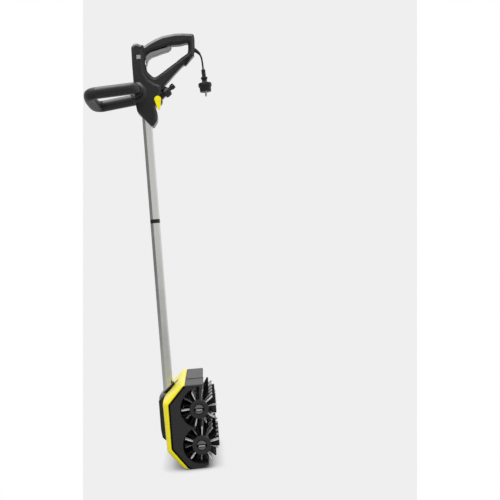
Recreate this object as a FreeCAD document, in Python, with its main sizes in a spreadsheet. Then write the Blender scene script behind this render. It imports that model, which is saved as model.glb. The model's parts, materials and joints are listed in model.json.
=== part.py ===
"""Electric patio cleaner with two counter-rotating roller brushes.

Millimetres, +Z up.  The machine stands parked on the front end of its head: the origin is on the
standing face, between the stick at -X and the brushes at +X, and +Y runs to the drive side.
"""
import FreeCAD, Part
import math
import os
from types import SimpleNamespace

from FreeCAD import Placement, Rotation, Vector

# Driving sizes, which the sheet holds
SIZES = {
    # head as a whole
    "head_half": 158.0,
    "wall": 2.5,
    "overrun": 20.0,
    "seam": 0.6,
    "running_gap": 0.05,
    "part_gap": 0.3,
    # rollers and their shafts
    "brush_x": 37.0,
    "upper_brush_z": 139.0,
    "lower_brush_z": 54.0,
    "brush_radius": 42.2,
    "brush_near_y": 158.0,
    "brush_far_y": 138.0,
    "core_radius": 20.0,
    "sleeve_radius": 23.0,
    "ring_radius": 22.3,
    "ring_thick": 8.0,
    "tuft_root": 1.7,
    "tuft_tip": 3.3,
    "tuft_row": 20.0,
    "tuft_pitch": 26.0,
    "shaft_radius": 6.0,
    "shaft_far_y": 155.0,
    "knob_radius": 12.2,
    "knob_depth": 5.0,
    "knob_proud": 2.0,
    "knob_bar": 3.0,
    # housing round the rollers
    "tunnel_radius": 44.5,
    "jaw_radius": 54.5,
    "jaw_x": 48.0,
    "jaw_end_x": 50.0,
    "box_left_x": 7.0,
    "rear_z": 197.0,
    "toe_x": 14.0,
    "toe_rise": 6.0,
    "panel_thick": 6.0,
    "rib_y": 70.0,
    "rib_width": 34.0,
    "band_half": 45.0,
    "band_rise": 1.2,
    # yellow cover: rim round the side panels, and the crown between them
    "rim_x": 32.0,
    "rim_high_z": 155.0,
    "rim_low_z": 50.0,
    "rim_heel_x": 3.0,
    "rim_heel_z": 3.0,
    "crown_x": 50.0,
    "crown_high_z": 158.0,
    "crown_low_z": 40.0,
    "crown_top_z": 200.0,
    "crown_shoulder_x": 5.0,
    "crown_toe_x": 13.0,
    # gear case on the drive side
    "case_floor_y": 141.0,
    "case_floor": 6.0,
    "case_lid": 3.0,
    "gear_module": 1.5,
    "gear_width": 7.0,
    "gear_side_gap": 1.0,
    "backlash": 0.3,
    "axle_radius": 3.0,
    "bearing_radius": 13.0,
    "motor_x": 18.0,
    "motor_radius": 20.5,
    "motor_near_y": 50.0,
    "motor_far_y": 136.0,
    "motor_nose": 9.0,
    "motor_shaft": 3.0,
    "cradle_wall": 4.0,
    "cradle_width": 5.0,
    # water in the head
    "spray_x": 10.0,
    "spray_z": 188.0,
    "spray_radius": 4.0,
    "spray_half": 130.0,
    "nozzle_radius": 2.2,
    "nozzle_length": 9.5,
    # joint between head and stick
    "pivot_x": 46.0,
    "pivot_z": 150.0,
    "barrel_radius": 17.5,
    "joint_half": 36.0,
    "slot_half": 20.6,
    "knuckle_half": 20.0,
    "slot_floor": 19.5,
    "hump_x": 64.0,
    "hump_right_x": 24.0,
    "hump_low_z": 46.0,
    "pin_radius": 5.0,
    "pin_head": 8.0,
    "socket_right_x": 25.0,
    "socket_top_z": 187.0,
    "opening_half": 36.5,
    "opening_right_x": 22.0,
    "opening_top_z": 190.0,
    # stick
    "stick_x": 40.0,
    "tube_width": 24.0,
    "tube_depth": 28.0,
    "tube_wall": 1.5,
    "tube_low_z": 160.0,
    "joiner_z": 598.0,
    "joiner_height": 10.0,
    "joiner_spigot": 70.0,
    "tube_high_z": 900.0,
    # handle casing
    "casing_left_x": 26.0,
    "casing_width": 162.0,
    "casing_low_z": 838.0,
    "casing_height": 230.0,
    "column_half": 25.0,
    "grip_half": 17.0,
    "casing_bevel": 5.0,
    "grip_bevel": 5.0,
    "casing_wall": 3.0,
    "screw_radius": 1.8,
    "screw_head": 3.6,
    "screw_head_thick": 2.4,
    "screw_sink": 3.0,
    # trigger, lock button and valve lever
    "trigger_half": 11.0,
    "trigger_gap": 0.5,
    "trigger_travel": 8.0,
    "trigger_angle": 4.0,
    "trigger_pin": 2.0,
    "button_width": 10.0,
    "button_proud": 2.0,
    "button_lip": 2.0,
    "hook_half": 8.0,
    "lever_hub": 9.7,
    "lever_thick": 7.0,
    "lever_reach": 26.0,
    "lever_tip": 4.0,
    "spindle_radius": 4.0,
    "valve_half": 11.0,
    # water inlet
    "inlet_angle": 39.0,
    "neck_half": 7.0,
    "nut_radius": 13.5,
    "nut_length": 11.0,
    "nipple_radius": 6.4,
    "nipple_bore": 4.0,
    "nipple_seat": 5.6,
    "nipple_reach": 20.0,
    "hose_radius": 4.0,
    "hose_offset": 4.8,
    # loop handle
    "hub_x": 21.0,
    "hub_z": 924.0,
    "hub_bolt": 3.0,
    "boss_radius": 28.0,
    "boss_thick": 5.7,
    "loop_reach": 130.0,
    "loop_half": 100.0,
    "loop_bar": 29.0,
    "loop_round": 8.0,
    "loop_drop": 5.5,
    # lead
    "lead_radius": 2.25,
    "gland_radius": 5.0,
    "gland_length": 9.0,
    "plug_flange": 17.0,
    "plug_length": 58.0,
    "plug_pin_length": 10.0,
    "plug_pin_radius": 2.4,
    "plug_pin_apart": 19.0,
}

# Shares of the head's half length where the cover has a section, and how much crown it has there
SECTION_SHARES = [
    (-1.0, 0.0), (-0.955, 0.62), (-0.86, 0.86), (-0.6, 1.0),
    (0.6, 1.0), (0.86, 0.86), (0.955, 0.62), (1.0, 0.0),
]

# Outlines of the handle as shares of its width and height, from its left foot
CASING_BACK_SHARES = [
    (0.006, 0.887), (0.055, 0.922), (0.105, 0.921), (0.148, 0.905), (0.21, 0.900),
]
GRIP_TOP_SHARES = [
    (0.21, 0.900), (0.278, 0.922), (0.395, 0.957), (0.506, 0.982), (0.685, 1.0), (0.815, 0.998), (0.969, 0.983),
]
CASING_END_SHARES = [
    (0.969, 0.983), (0.992, 0.974), (1.0, 0.943), (0.994, 0.822), (0.975, 0.75), (0.96, 0.735), (0.778, 0.635),
    (0.673, 0.565), (0.488, 0.44), (0.42, 0.395), (0.41, 0.36), (0.36, 0.27), (0.302, 0.209), (0.327, 0.17),
    (0.333, 0.109), (0.321, 0.061), (0.259, 0.0), (0.216, 0.009), (0.08, 0.122), (0.025, 0.17), (0.006, 0.252),
    (0.0, 0.505), (0.0, 0.687), (0.006, 0.887),
]
HOLE_SHARES = [
    (0.216, 0.678), (0.216, 0.63), (0.235, 0.604), (0.296, 0.557), (0.333, 0.543), (0.377, 0.557),
    (0.475, 0.6), (0.605, 0.661), (0.673, 0.691), (0.765, 0.739), (0.87, 0.783), (0.883, 0.8), (0.889, 0.826),
    (0.895, 0.891), (0.883, 0.9), (0.772, 0.878), (0.63, 0.887), (0.537, 0.87), (0.457, 0.857),
    (0.377, 0.843), (0.296, 0.83), (0.228, 0.796), (0.21, 0.765), (0.204, 0.726),
]
COLUMN_RIGHT_SHARES = [
    (0.205, 0.900), (0.18, 0.83), (0.172, 0.70), (0.172, 0.60), (0.235, 0.515), (0.32, 0.472), (0.42, 0.44),
]
COLUMN_SCREW_SHARES = [(0.071, 0.861), (0.17, 0.5), (0.275, 0.13)]
GRIP_SCREW_SHARES = [(0.636, 0.613), (0.827, 0.965)]
TRIGGER_TOP_SHARES = [
    (0.63, 0.887), (0.537, 0.87), (0.457, 0.857), (0.377, 0.843), (0.296, 0.83), (0.228, 0.796), (0.21, 0.765),
    (0.204, 0.726),
]
TRIGGER_LOW_SHARES = [
    (0.226, 0.683), (0.238, 0.70), (0.247, 0.73), (0.265, 0.748), (0.309, 0.77), (0.414, 0.787), (0.469, 0.8),
    (0.58, 0.817), (0.617, 0.84), (0.63, 0.865),
]
BUTTON_SHARES = (0.111, 0.765)
VALVE_SHARES = (0.358, 0.283)
NUT_SHARES = (0.5, 0.383)
CABLE_BEND_SHARES = (0.225, 0.872)
CABLE_DROP_SHARES = (0.115, 0.78)
SUPPLY_SHARES = [
    (0.943, 0.905), (0.89, 0.928), (0.8, 0.925), (0.7, 0.944),
]
TRIGGER_PIVOT_SHARES = (0.586, 0.906)
SWITCH_LOW_SHARES = (0.42, 0.905)
SWITCH_HIGH_SHARES = (0.531, 0.948)
BOSS_CORNERS = [22.5 + 45 * corner for corner in range(8)]
HOOK_SHARES = [(0.8, 0.652), (0.845, 0.64), (0.99, 0.745), (0.985, 0.775)]

# Outline of one side of the loop handle from above, as shares of its reach and half width
LOOP_OUTER_SHARES = [
    (-0.11, 0.42), (-0.11, 0.66), (-0.07, 0.79), (0.02, 0.86), (0.7, 1.0), (0.8, 0.95), (0.89, 0.81), (0.955, 0.6),
    (0.99, 0.32), (1.0, 0.0),
]
LOOP_INNER_SHARES = [
    (0.78, 0.0), (0.775, 0.32), (0.75, 0.54), (0.7, 0.67), (0.62, 0.71), (0.17, 0.58), (0.11, 0.53), (0.11, 0.31),
    (-0.11, 0.31),
]
LOOP_SEAM_SHARE = 0.72
LOOP_BOLT_SHARE = 0.6

# Cross-section of the stick's tube as shares of half its width and half its depth
TUBE_SHARES = [(-1.0, 0.45), (-0.36, 1.0), (0.75, 1.0), (1.0, 0.75)]

# Route of the free lead in the plane of the handle, from the gland to the plug, and the plug's profile
LEAD_ROUTE = [(97.0, 1026.8), (103.3, 1021.9), (108.1, 1014.8), (110.9, 1005.6), (112.0, 991.4), (112.5, 977.4)]
PLUG_SHARES = [
    (0.0, 0.0), (0.31, 0.0), (0.31, 0.33), (0.5, 0.35), (0.5, 0.43), (0.41, 0.45), (0.38, 0.54), (0.9, 0.6),
    (1.0, 0.63), (1.0, 0.76), (0.9, 0.79), (0.86, 1.0), (0.0, 1.0),
]

# Teeth of the gears
ROLLER_TEETH = 20
REDUCTION_TEETH = 24
PINION_TEETH = 12
PRESSURE_ANGLE = 20.0
TUFTS_PER_ROW = 10
TUFT_ANGLES = {"upper": 38.0, "lower": 13.0}
ROWS = 11

size = SimpleNamespace(**SIZES)

document = FreeCAD.newDocument("patio_cleaner")
sheet = document.addObject("Spreadsheet::Sheet", "Sizes")
for row, (name, value) in enumerate(SIZES.items(), start=1):
    sheet.set("A%d" % row, name)
    sheet.set("B%d" % row, str(value))
    sheet.setAlias("B%d" % row, name)
document.recompute()

nodes = []


# Plane outlines, drawn with x and z as their two coordinates
def turning(points):
    """Plus one for an outline that runs counter-clockwise, minus one for the other way."""
    area = sum(a[0] * b[1] - b[0] * a[1] for a, b in zip(points, points[1:] + points[:1]))
    return math.copysign(1, area)


def polygon(points):
    """Face with straight sides through the points."""
    ordered = points if turning(points) > 0 else points[::-1]
    corners = [Vector(x, z, 0) for x, z in ordered]
    return Part.Face(Part.makePolygon(corners + corners[:1]))


def disc(x, z, radius):
    """Round face."""
    return Part.Face(Part.Wire(Part.makeCircle(radius, Vector(x, z, 0))))


def discs(places, radius):
    """Several round faces of one size."""
    return Part.makeCompound([disc(x, z, radius) for x, z in places])


def rectangle(low_x, low_z, high_x, high_z):
    """Face with four sides along the axes."""
    return polygon([(low_x, low_z), (high_x, low_z), (high_x, high_z), (low_x, high_z)])


def merged(shape):
    """Neighbouring faces of a plane shape as one face."""
    return Part.makeShell(shape.Faces).removeSplitter()


def joined(*shapes):
    """One face from several that meet."""
    faces = [face for shape in shapes for face in shape.Faces]
    return merged(faces[0].multiFuse(faces[1:]))


def traced(runs):
    """Face whose boundary is a chain of runs: each is straight or a smooth curve through its points."""
    edges = []
    for smooth, points in runs:
        corners = [Vector(x, z, 0) for x, z in points]
        if smooth:
            curve = Part.BSplineCurve()
            curve.interpolate(corners)
            edges.append(curve.toShape())
        else:
            edges.extend(Part.LineSegment(a, b).toShape() for a, b in zip(corners, corners[1:]))
    return Part.Face(Part.Wire(edges))


def inset(points, distance):
    """Closed outline moved inwards by a distance, side by side."""
    turn = turning(points)
    count = len(points)
    moved = []
    for index in range(count):
        before, here, after = points[index - 1], points[index], points[(index + 1) % count]
        first = math.atan2(here[1] - before[1], here[0] - before[0])
        second = math.atan2(after[1] - here[1], after[0] - here[0])
        half = (second - first) / 2
        half -= math.pi * round(half / math.pi)
        middle = first + half + turn * math.pi / 2
        reach = distance / math.cos(half)
        moved.append((here[0] + reach * math.cos(middle), here[1] + reach * math.sin(middle)))
    return moved


# Sub-parts as bodies of the document
def plane_of(body, role):
    """Origin plane of a body."""
    return [item for item in body.Origin.OriginFeatures if item.Role == role][0]


def new_body(label):
    """Empty body whose label is the node's name."""
    body = document.addObject("PartDesign::Body", label)
    body.Label = label
    return body


def add_sketch(body, name, face, role="XZ_Plane", offset="0"):
    """Sketch of a plane outline, at an offset along the plane's normal."""
    sketch = body.newObject("Sketcher::SketchObject", name)
    sketch.AttachmentSupport = [(plane_of(body, role), "")]
    sketch.MapMode = "FlatFace"
    sketch.setExpression("AttachmentOffset.Base.z", offset)
    for edge in face.Edges:
        first, last = edge.ParameterRange
        start, end = edge.valueAt(first), edge.valueAt(last)
        kind = edge.Curve.TypeId
        if kind == "Part::GeomLine":
            sketch.addGeometry(Part.LineSegment(start, end))
        elif kind == "Part::GeomCircle" and edge.isClosed():
            sketch.addGeometry(Part.Circle(edge.Curve.Center, Vector(0, 0, 1), edge.Curve.Radius))
        elif kind == "Part::GeomCircle":
            middle = edge.valueAt((first + last) / 2)
            bend = (middle - start).cross(end - middle).z
            ends = (start, end) if bend > 0 else (end, start)
            sketch.addGeometry(Part.Arc(ends[0], middle, ends[1]))
        else:
            sketch.addGeometry(edge.Curve.toBSpline(first, last))
    return sketch


def pad(body, face, low, high, role="XZ_Plane"):
    """Solid between two places along the normal of the outline's plane: y for XZ, z for XY, x for YZ."""
    flipped = role == "XZ_Plane"
    sketch = add_sketch(body, "outline", face, role, "-(%s)" % high if flipped else low)
    feature = body.newObject("PartDesign::Pad", "pad")
    feature.Profile = sketch
    feature.setExpression("Length", "(%s) - (%s)" % (high, low))
    body.Tip = feature
    return feature


def pocket(body, face, low, high, role="XZ_Plane"):
    """Recess between two places along the normal of the outline's plane."""
    flipped = role == "XZ_Plane"
    sketch = add_sketch(body, "recess", face, role, "-(%s)" % low if flipped else high)
    feature = body.newObject("PartDesign::Pocket", "pocket")
    feature.Profile = sketch
    feature.Refine = False
    feature.setExpression("Length", "(%s) - (%s)" % (high, low))
    body.Tip = feature
    return feature


def prism(label, face, low, high, role="XZ_Plane"):
    """Body of one outline with a straight wall."""
    body = new_body(label)
    pad(body, face, low, high, role)
    return body


def keep(item):
    """Register a sub-part as a node."""
    nodes.append(item)
    return item


def place(item, x="0", y="0", z="0", turn=None):
    """Put a sub-part at a place bound to the sheet, turned from its own frame."""
    if turn is not None:
        item.Placement = Placement(Vector(0, 0, 0), turn)
    item.setExpression(".Placement.Base.x", x)
    item.setExpression(".Placement.Base.y", y)
    item.setExpression(".Placement.Base.z", z)
    return item


def turned(label, profile):
    """Body of revolution about its own Z axis, from (radius, height) points."""
    body = new_body(label)
    sketch = add_sketch(body, "profile", polygon(profile))
    feature = body.newObject("PartDesign::Revolution", "revolution")
    feature.Profile = sketch
    feature.ReferenceAxis = (sketch, ["V_Axis"])
    feature.Angle = 360
    body.Tip = feature
    return body


def group(label, solids):
    """Several solids under one node."""
    item = document.addObject("Part::Feature", label)
    item.Label = label
    item.Shape = Part.makeCompound(solids)
    return item


def rod(radius, start, end):
    """Solid cylinder between two points."""
    return Part.makeCylinder(radius, (end - start).Length, start, end - start)


ALONG_Y = Rotation(Vector(1, 0, 0), -90)

# Places that several pieces share
upper_axis = (size.brush_x, size.upper_brush_z)
lower_axis = (size.brush_x, size.lower_brush_z)
middle_z = (size.upper_brush_z + size.lower_brush_z) / 2
pivot = (-size.pivot_x, size.pivot_z)


def rollers_space(radius, jaw):
    """Outline of the room for both rollers, with the wider mouth of the upper one."""
    reach = size.tunnel_radius + size.overrun
    above = rectangle(size.jaw_x - 2 * reach, size.upper_brush_z, size.jaw_x + 2 * reach, size.rear_z + reach)
    mouth = disc(size.jaw_x, size.upper_brush_z, jaw).common(above)
    return joined(disc(*upper_axis, radius), disc(*lower_axis, radius), mouth)


def mouth_side():
    """Outline of the open side of the head, right of the jaws."""
    gate = rectangle(size.brush_x, size.lower_brush_z, size.jaw_end_x + 2 * size.overrun, size.upper_brush_z)
    beyond = rectangle(size.jaw_end_x, -size.overrun, size.jaw_end_x + 2 * size.overrun, size.rear_z + size.overrun)
    return joined(gate, beyond)


# Head cover: a crowned band that wraps the back of the head from end to end
def cover_section(crown_share):
    """Outline of the cover at a share of its full crown."""
    rim = [
        (size.box_left_x, size.rear_z), (size.box_left_x - size.wall, size.rear_z),
        (-size.rim_x - size.wall, size.rim_high_z), (-size.rim_x - size.wall, size.rim_low_z),
        (size.rim_heel_x - size.wall, size.rim_heel_z), (size.box_left_x, 0),
    ]
    crown = [
        (size.box_left_x, size.crown_top_z), (-size.crown_shoulder_x, size.crown_top_z - size.wall / 2),
        (-size.crown_x, size.crown_high_z), (-size.crown_x + size.wall, size.crown_low_z),
        (-size.crown_toe_x, 0), (size.box_left_x, 0),
    ]
    return [(a[0] + (b[0] - a[0]) * crown_share, a[1] + (b[1] - a[1]) * crown_share) for a, b in zip(rim, crown)]


def cover_cavity(points):
    """Inside of a section, open at its right side."""
    inner = inset(points, size.wall)
    open_x = size.box_left_x + size.overrun
    return [(open_x, inner[0][1])] + inner[1:-1] + [(open_x, inner[-1][1])]


def loft(body, kind, sections, extra=0.0):
    """Ruled loft along Y through outlines at shares of the head's half length."""
    sketches = []
    for share, points in sections:
        place_y = "-(%s) * Sizes.head_half * %s" % (share, 1 + extra)
        sketches.append(add_sketch(body, "section", polygon(points), offset=place_y))
    feature = body.newObject(kind, "loft")
    feature.Profile = sketches[0]
    feature.Sections = sketches[1:]
    feature.Ruled = True
    body.Tip = feature
    return feature


head_cover = keep(new_body("head_cover"))
loft(head_cover, "PartDesign::AdditiveLoft", [(share, cover_section(crown)) for share, crown in SECTION_SHARES])
loft(head_cover, "PartDesign::SubtractiveLoft",
     [(share, cover_cavity(cover_section(crown))) for share, crown in SECTION_SHARES])
opening = rectangle(-size.hump_x - size.overrun, size.hump_low_z + size.seam, -size.opening_right_x, size.opening_top_z)
pocket(head_cover, opening, "-Sizes.opening_half", "Sizes.opening_half")

# Brush housing: the walls round the rollers, the rear end and the ribs that it stands on
low_plate = polygon([(size.box_left_x, 0), (size.toe_x, 0), (size.jaw_end_x, size.toe_rise),
                     (size.jaw_end_x, size.toe_rise + size.tunnel_radius / 2), (size.box_left_x, size.tunnel_radius / 2)])
rear_plate = rectangle(size.box_left_x, size.rear_z - size.wall, size.jaw_end_x, size.rear_z)
walls = joined(rollers_space(size.tunnel_radius + size.wall, size.jaw_radius + size.wall), low_plate, rear_plate)
walls = walls.cut(rollers_space(size.tunnel_radius, size.jaw_radius)).cut(mouth_side())
walls = merged(walls.common(rectangle(-size.rim_x, 0, size.jaw_end_x, size.rear_z)))
brush_housing = keep(prism("brush_housing", walls, "-Sizes.head_half + Sizes.panel_thick", "Sizes.case_floor_y"))
rib = polygon([(size.toe_x, 0), (size.jaw_end_x, 0), (size.jaw_end_x, size.toe_rise)])
for side in ("-", ""):
    pad(brush_housing, rib, side + "Sizes.rib_y - Sizes.rib_width / 2", side + "Sizes.rib_y + Sizes.rib_width / 2")
band = rectangle(size.box_left_x + size.wall, size.rear_z, size.jaw_end_x, size.rear_z + size.band_rise)
pad(brush_housing, band, "-Sizes.band_half", "Sizes.band_half")

# Side panel on the open side, with the two bites for the rollers: it fits inside the cover's rim
rim_inside = polygon(inset(cover_cavity(cover_section(0)), size.seam))
box_side = [
    (size.box_left_x, size.rear_z), (size.jaw_end_x, size.rear_z), (size.jaw_end_x, size.toe_rise),
    (size.toe_x, 0), (size.box_left_x, 0),
]
side_outline = joined(rim_inside, polygon(inset(box_side, size.seam)))
side_face = merged(side_outline.cut(rollers_space(size.tunnel_radius, size.jaw_radius)).cut(mouth_side()))
near_side_panel = keep(prism("near_side_panel", side_face, "-Sizes.head_half", "-Sizes.head_half + Sizes.panel_thick"))

# Gear case on the drive side: tray, lid, and the places of the gears
gear_distance = size.gear_module * ROLLER_TEETH
idler_x = size.brush_x - math.sqrt(gear_distance ** 2 - ((size.upper_brush_z - size.lower_brush_z - gear_distance) / 2) ** 2)
upper_idler = (idler_x, middle_z + gear_distance / 2)
lower_idler = (idler_x, middle_z - gear_distance / 2)
motor_axis = (-size.motor_x, middle_z)


def meet(first, first_distance, second, second_distance):
    """Upper point at given distances from two centres."""
    dx, dz = second[0] - first[0], second[1] - first[1]
    span = math.hypot(dx, dz)
    along = (first_distance ** 2 - second_distance ** 2 + span ** 2) / (2 * span)
    aside = math.sqrt(first_distance ** 2 - along ** 2)
    return (first[0] + (along * dx - aside * dz) / span, first[1] + (along * dz + aside * dx) / span)


reduction_axis = meet(motor_axis, size.gear_module * (PINION_TEETH + REDUCTION_TEETH) / 2,
                      upper_idler, size.gear_module * (ROLLER_TEETH + REDUCTION_TEETH) / 2)
gear_tip = size.gear_module * (ROLLER_TEETH / 2 + 1)
reduction_tip = size.gear_module * (REDUCTION_TEETH / 2 + 1)
pinion_tip = size.gear_module * (PINION_TEETH / 2 + 1)


def gear_room(margin):
    """Outline of the room that the whole train needs."""
    train = [disc(*axis, gear_tip + margin) for axis in (upper_axis, upper_idler, lower_idler, lower_axis)]
    return joined(disc(*reduction_axis, reduction_tip + margin), disc(*motor_axis, pinion_tip + margin), *train)


def gear_box(margin):
    """Outline round the train that stays inside the cover's rim."""
    open_side = rectangle(size.box_left_x, 0, size.jaw_end_x + 2 * size.overrun, size.rear_z)
    return merged(gear_room(margin).common(joined(rim_inside, open_side)))


case_outline = joined(side_face, gear_box(2 * size.wall))
gear_case = keep(prism("gear_case", case_outline, "Sizes.case_floor_y", "Sizes.head_half"))
pocket(gear_case, gear_room(size.wall / 2), "Sizes.case_floor_y + Sizes.case_floor", "Sizes.head_half + Sizes.overrun")
shaft_holes = [disc(*axis, size.bearing_radius) for axis in (upper_axis, lower_axis)]
shaft_holes.append(disc(*motor_axis, size.motor_nose + size.running_gap))
for hole in shaft_holes:
    pocket(gear_case, hole, "Sizes.case_floor_y - Sizes.overrun", "Sizes.case_floor_y + Sizes.case_floor + Sizes.wall")
gear_case_lid = keep(prism("gear_case_lid", gear_box(2 * size.wall - size.seam),
                           "Sizes.head_half", "Sizes.head_half + Sizes.case_lid"))
lid_screws = [
    (size.brush_x + gear_tip + size.wall, size.upper_brush_z), (size.brush_x + gear_tip + size.wall, size.lower_brush_z),
    (reduction_axis[0] - reduction_tip - size.wall, reduction_axis[1]),
]

# Bearings and axles in the case
for label, axis in (("upper_bearing", upper_axis), ("lower_bearing", lower_axis)):
    ring = disc(*axis, size.bearing_radius).cut(disc(*axis, size.shaft_radius + size.running_gap))
    keep(prism(label, ring, "Sizes.case_floor_y", "Sizes.case_floor_y + Sizes.case_floor"))
axles = []
for axis in (upper_idler, lower_idler, reduction_axis):
    start = Vector(axis[0], size.case_floor_y + size.case_floor, axis[1])
    axles.append(rod(size.axle_radius, start, Vector(axis[0], size.head_half, axis[1])))
keep(group("gear_axles", axles))


# Gears
def involute(angle):
    """Involute function of a pressure angle."""
    return math.tan(angle) - angle


def gear_outline(teeth, phase):
    """Outline of a spur gear about its own centre, with a tooth centred at the phase."""
    pitch_radius = size.gear_module * teeth / 2
    base_radius = pitch_radius * math.cos(math.radians(PRESSURE_ANGLE))
    radii = [pitch_radius - size.gear_module * 1.2, pitch_radius, pitch_radius + size.gear_module * 0.9]
    half_tooth = math.pi / (2 * teeth) - size.backlash / (2 * pitch_radius)
    half_angles = []
    for radius in radii:
        angle = math.acos(min(1.0, base_radius / radius))
        half_angles.append(half_tooth + involute(math.radians(PRESSURE_ANGLE)) - involute(angle))
    points = []
    for tooth in range(teeth):
        middle = math.radians(phase) + 2 * math.pi * tooth / teeth
        flank = list(zip(radii, half_angles))
        for radius, half in flank:
            points.append((radius * math.cos(middle - half), radius * math.sin(middle - half)))
        for radius, half in reversed(flank):
            points.append((radius * math.cos(middle + half), radius * math.sin(middle + half)))
    return points


def meshed_phase(phase, teeth, other_teeth, start, end):
    """Phase of a gear at the end that meshes with one at the start."""
    direction = math.degrees(math.atan2(end[1] - start[1], end[0] - start[0]))
    return direction + 180 - (phase - direction) * teeth / other_teeth - 180 / other_teeth


def gear(label, teeth, phase, axis, bore):
    """Spur gear on its axis in the case."""
    outline = polygon([(x + axis[0], z + axis[1]) for x, z in gear_outline(teeth, phase)])
    start = "Sizes.case_floor_y + Sizes.case_floor + Sizes.gear_side_gap"
    return keep(prism(label, outline.cut(disc(*axis, bore)) if bore else outline, start, start + " + Sizes.gear_width"))


upper_phase = 0.0
upper_idler_phase = meshed_phase(upper_phase, ROLLER_TEETH, ROLLER_TEETH, upper_axis, upper_idler)
lower_idler_phase = meshed_phase(upper_idler_phase, ROLLER_TEETH, ROLLER_TEETH, upper_idler, lower_idler)
lower_phase = meshed_phase(lower_idler_phase, ROLLER_TEETH, ROLLER_TEETH, lower_idler, lower_axis)
reduction_phase = meshed_phase(upper_idler_phase, ROLLER_TEETH, REDUCTION_TEETH, upper_idler, reduction_axis)
pinion_phase = meshed_phase(reduction_phase, REDUCTION_TEETH, PINION_TEETH, reduction_axis, motor_axis)
axle_bore = size.axle_radius + size.running_gap
gear("upper_roller_gear", ROLLER_TEETH, upper_phase, upper_axis, size.shaft_radius)
gear("upper_idler_gear", ROLLER_TEETH, upper_idler_phase, upper_idler, axle_bore)
gear("lower_idler_gear", ROLLER_TEETH, lower_idler_phase, lower_idler, axle_bore)
gear("lower_roller_gear", ROLLER_TEETH, lower_phase, lower_axis, size.shaft_radius)
gear("reduction_gear", REDUCTION_TEETH, reduction_phase, reduction_axis, axle_bore)
motor_pinion = gear("motor_pinion", PINION_TEETH, pinion_phase, motor_axis, 0)
pad(motor_pinion, disc(*motor_axis, size.motor_shaft), "Sizes.motor_far_y - Sizes.overrun",
    "Sizes.case_floor_y + Sizes.case_floor + Sizes.gear_side_gap")

# Motor and its cradle
motor = keep(new_body("motor"))
pad(motor, disc(*motor_axis, size.motor_radius), "Sizes.motor_near_y", "Sizes.motor_far_y")
pad(motor, disc(*motor_axis, size.motor_nose), "Sizes.motor_far_y", "Sizes.case_floor_y + Sizes.case_floor")
pocket(motor, disc(*motor_axis, size.motor_shaft + size.running_gap),
       "Sizes.motor_far_y - Sizes.overrun - Sizes.wall", "Sizes.case_floor_y + Sizes.case_floor + Sizes.overrun")
arm = rectangle(-size.motor_x, middle_z - size.motor_radius / 2, size.brush_x, middle_z + size.motor_radius / 2)
cradle_face = joined(disc(*motor_axis, size.motor_radius + size.cradle_wall), arm)
cradle_face = cradle_face.cut(disc(*motor_axis, size.motor_radius))
cradle_face = cradle_face.cut(rollers_space(size.tunnel_radius + size.wall, size.jaw_radius + size.wall))
cradle_face = cradle_face.common(rectangle(-size.rim_x - size.overrun, 0, size.toe_x, size.rear_z))
for label, near_y in (("motor_cradle_near", "Sizes.motor_near_y + Sizes.cradle_width"),
                      ("motor_cradle_far", "Sizes.motor_far_y - 3 * Sizes.cradle_width")):
    keep(prism(label, cradle_face, near_y, near_y + " + Sizes.cradle_width"))

# Spray bar with its nozzles in the rear end
bar = rod(size.spray_radius, Vector(size.spray_x, -size.spray_half, size.spray_z),
          Vector(size.spray_x, size.spray_half, size.spray_z))
nozzle_places = [share * size.spray_half for share in (-0.8, -0.4, 0.0, 0.4, 0.8)]
for nozzle_y in nozzle_places:
    start = Vector(size.spray_x, nozzle_y, size.spray_z)
    bar = bar.fuse(rod(size.nozzle_radius, start, start - Vector(0, 0, size.nozzle_length)))
    pocket(brush_housing, disc(size.spray_x, nozzle_y, size.nozzle_radius + size.running_gap),
           "Sizes.spray_z - Sizes.overrun", "Sizes.spray_z", "XY_Plane")
spray_bar = keep(group("spray_bar", bar.removeSplitter().Solids))


# Rollers
def tuft_row(radius_x, radius_z, first_angle, count):
    """Outline of tufts round an axis, each wider at its tip, joined at the sleeve."""
    faces = [disc(radius_x, radius_z, size.sleeve_radius)]
    for index in range(count):
        faces.append(tuft(radius_x, radius_z, first_angle + 360 * index / count, size.core_radius))
    return joined(*faces).cut(disc(radius_x, radius_z, size.core_radius))


def tuft(x, z, angle, root_radius):
    """Outline of one tuft."""
    turn = math.radians(angle)
    along, aside = (math.cos(turn), math.sin(turn)), (-math.sin(turn), math.cos(turn))
    corners = [(root_radius, -size.tuft_root), (size.brush_radius, -size.tuft_tip),
               (size.brush_radius, size.tuft_tip), (root_radius, size.tuft_root)]
    tip = math.sqrt(size.brush_radius ** 2 - size.tuft_tip ** 2)
    corners[1:3] = [(tip, -size.tuft_tip), (tip, size.tuft_tip)]
    return polygon([(x + a * along[0] + b * aside[0], z + a * along[1] + b * aside[1]) for a, b in corners])


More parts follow.
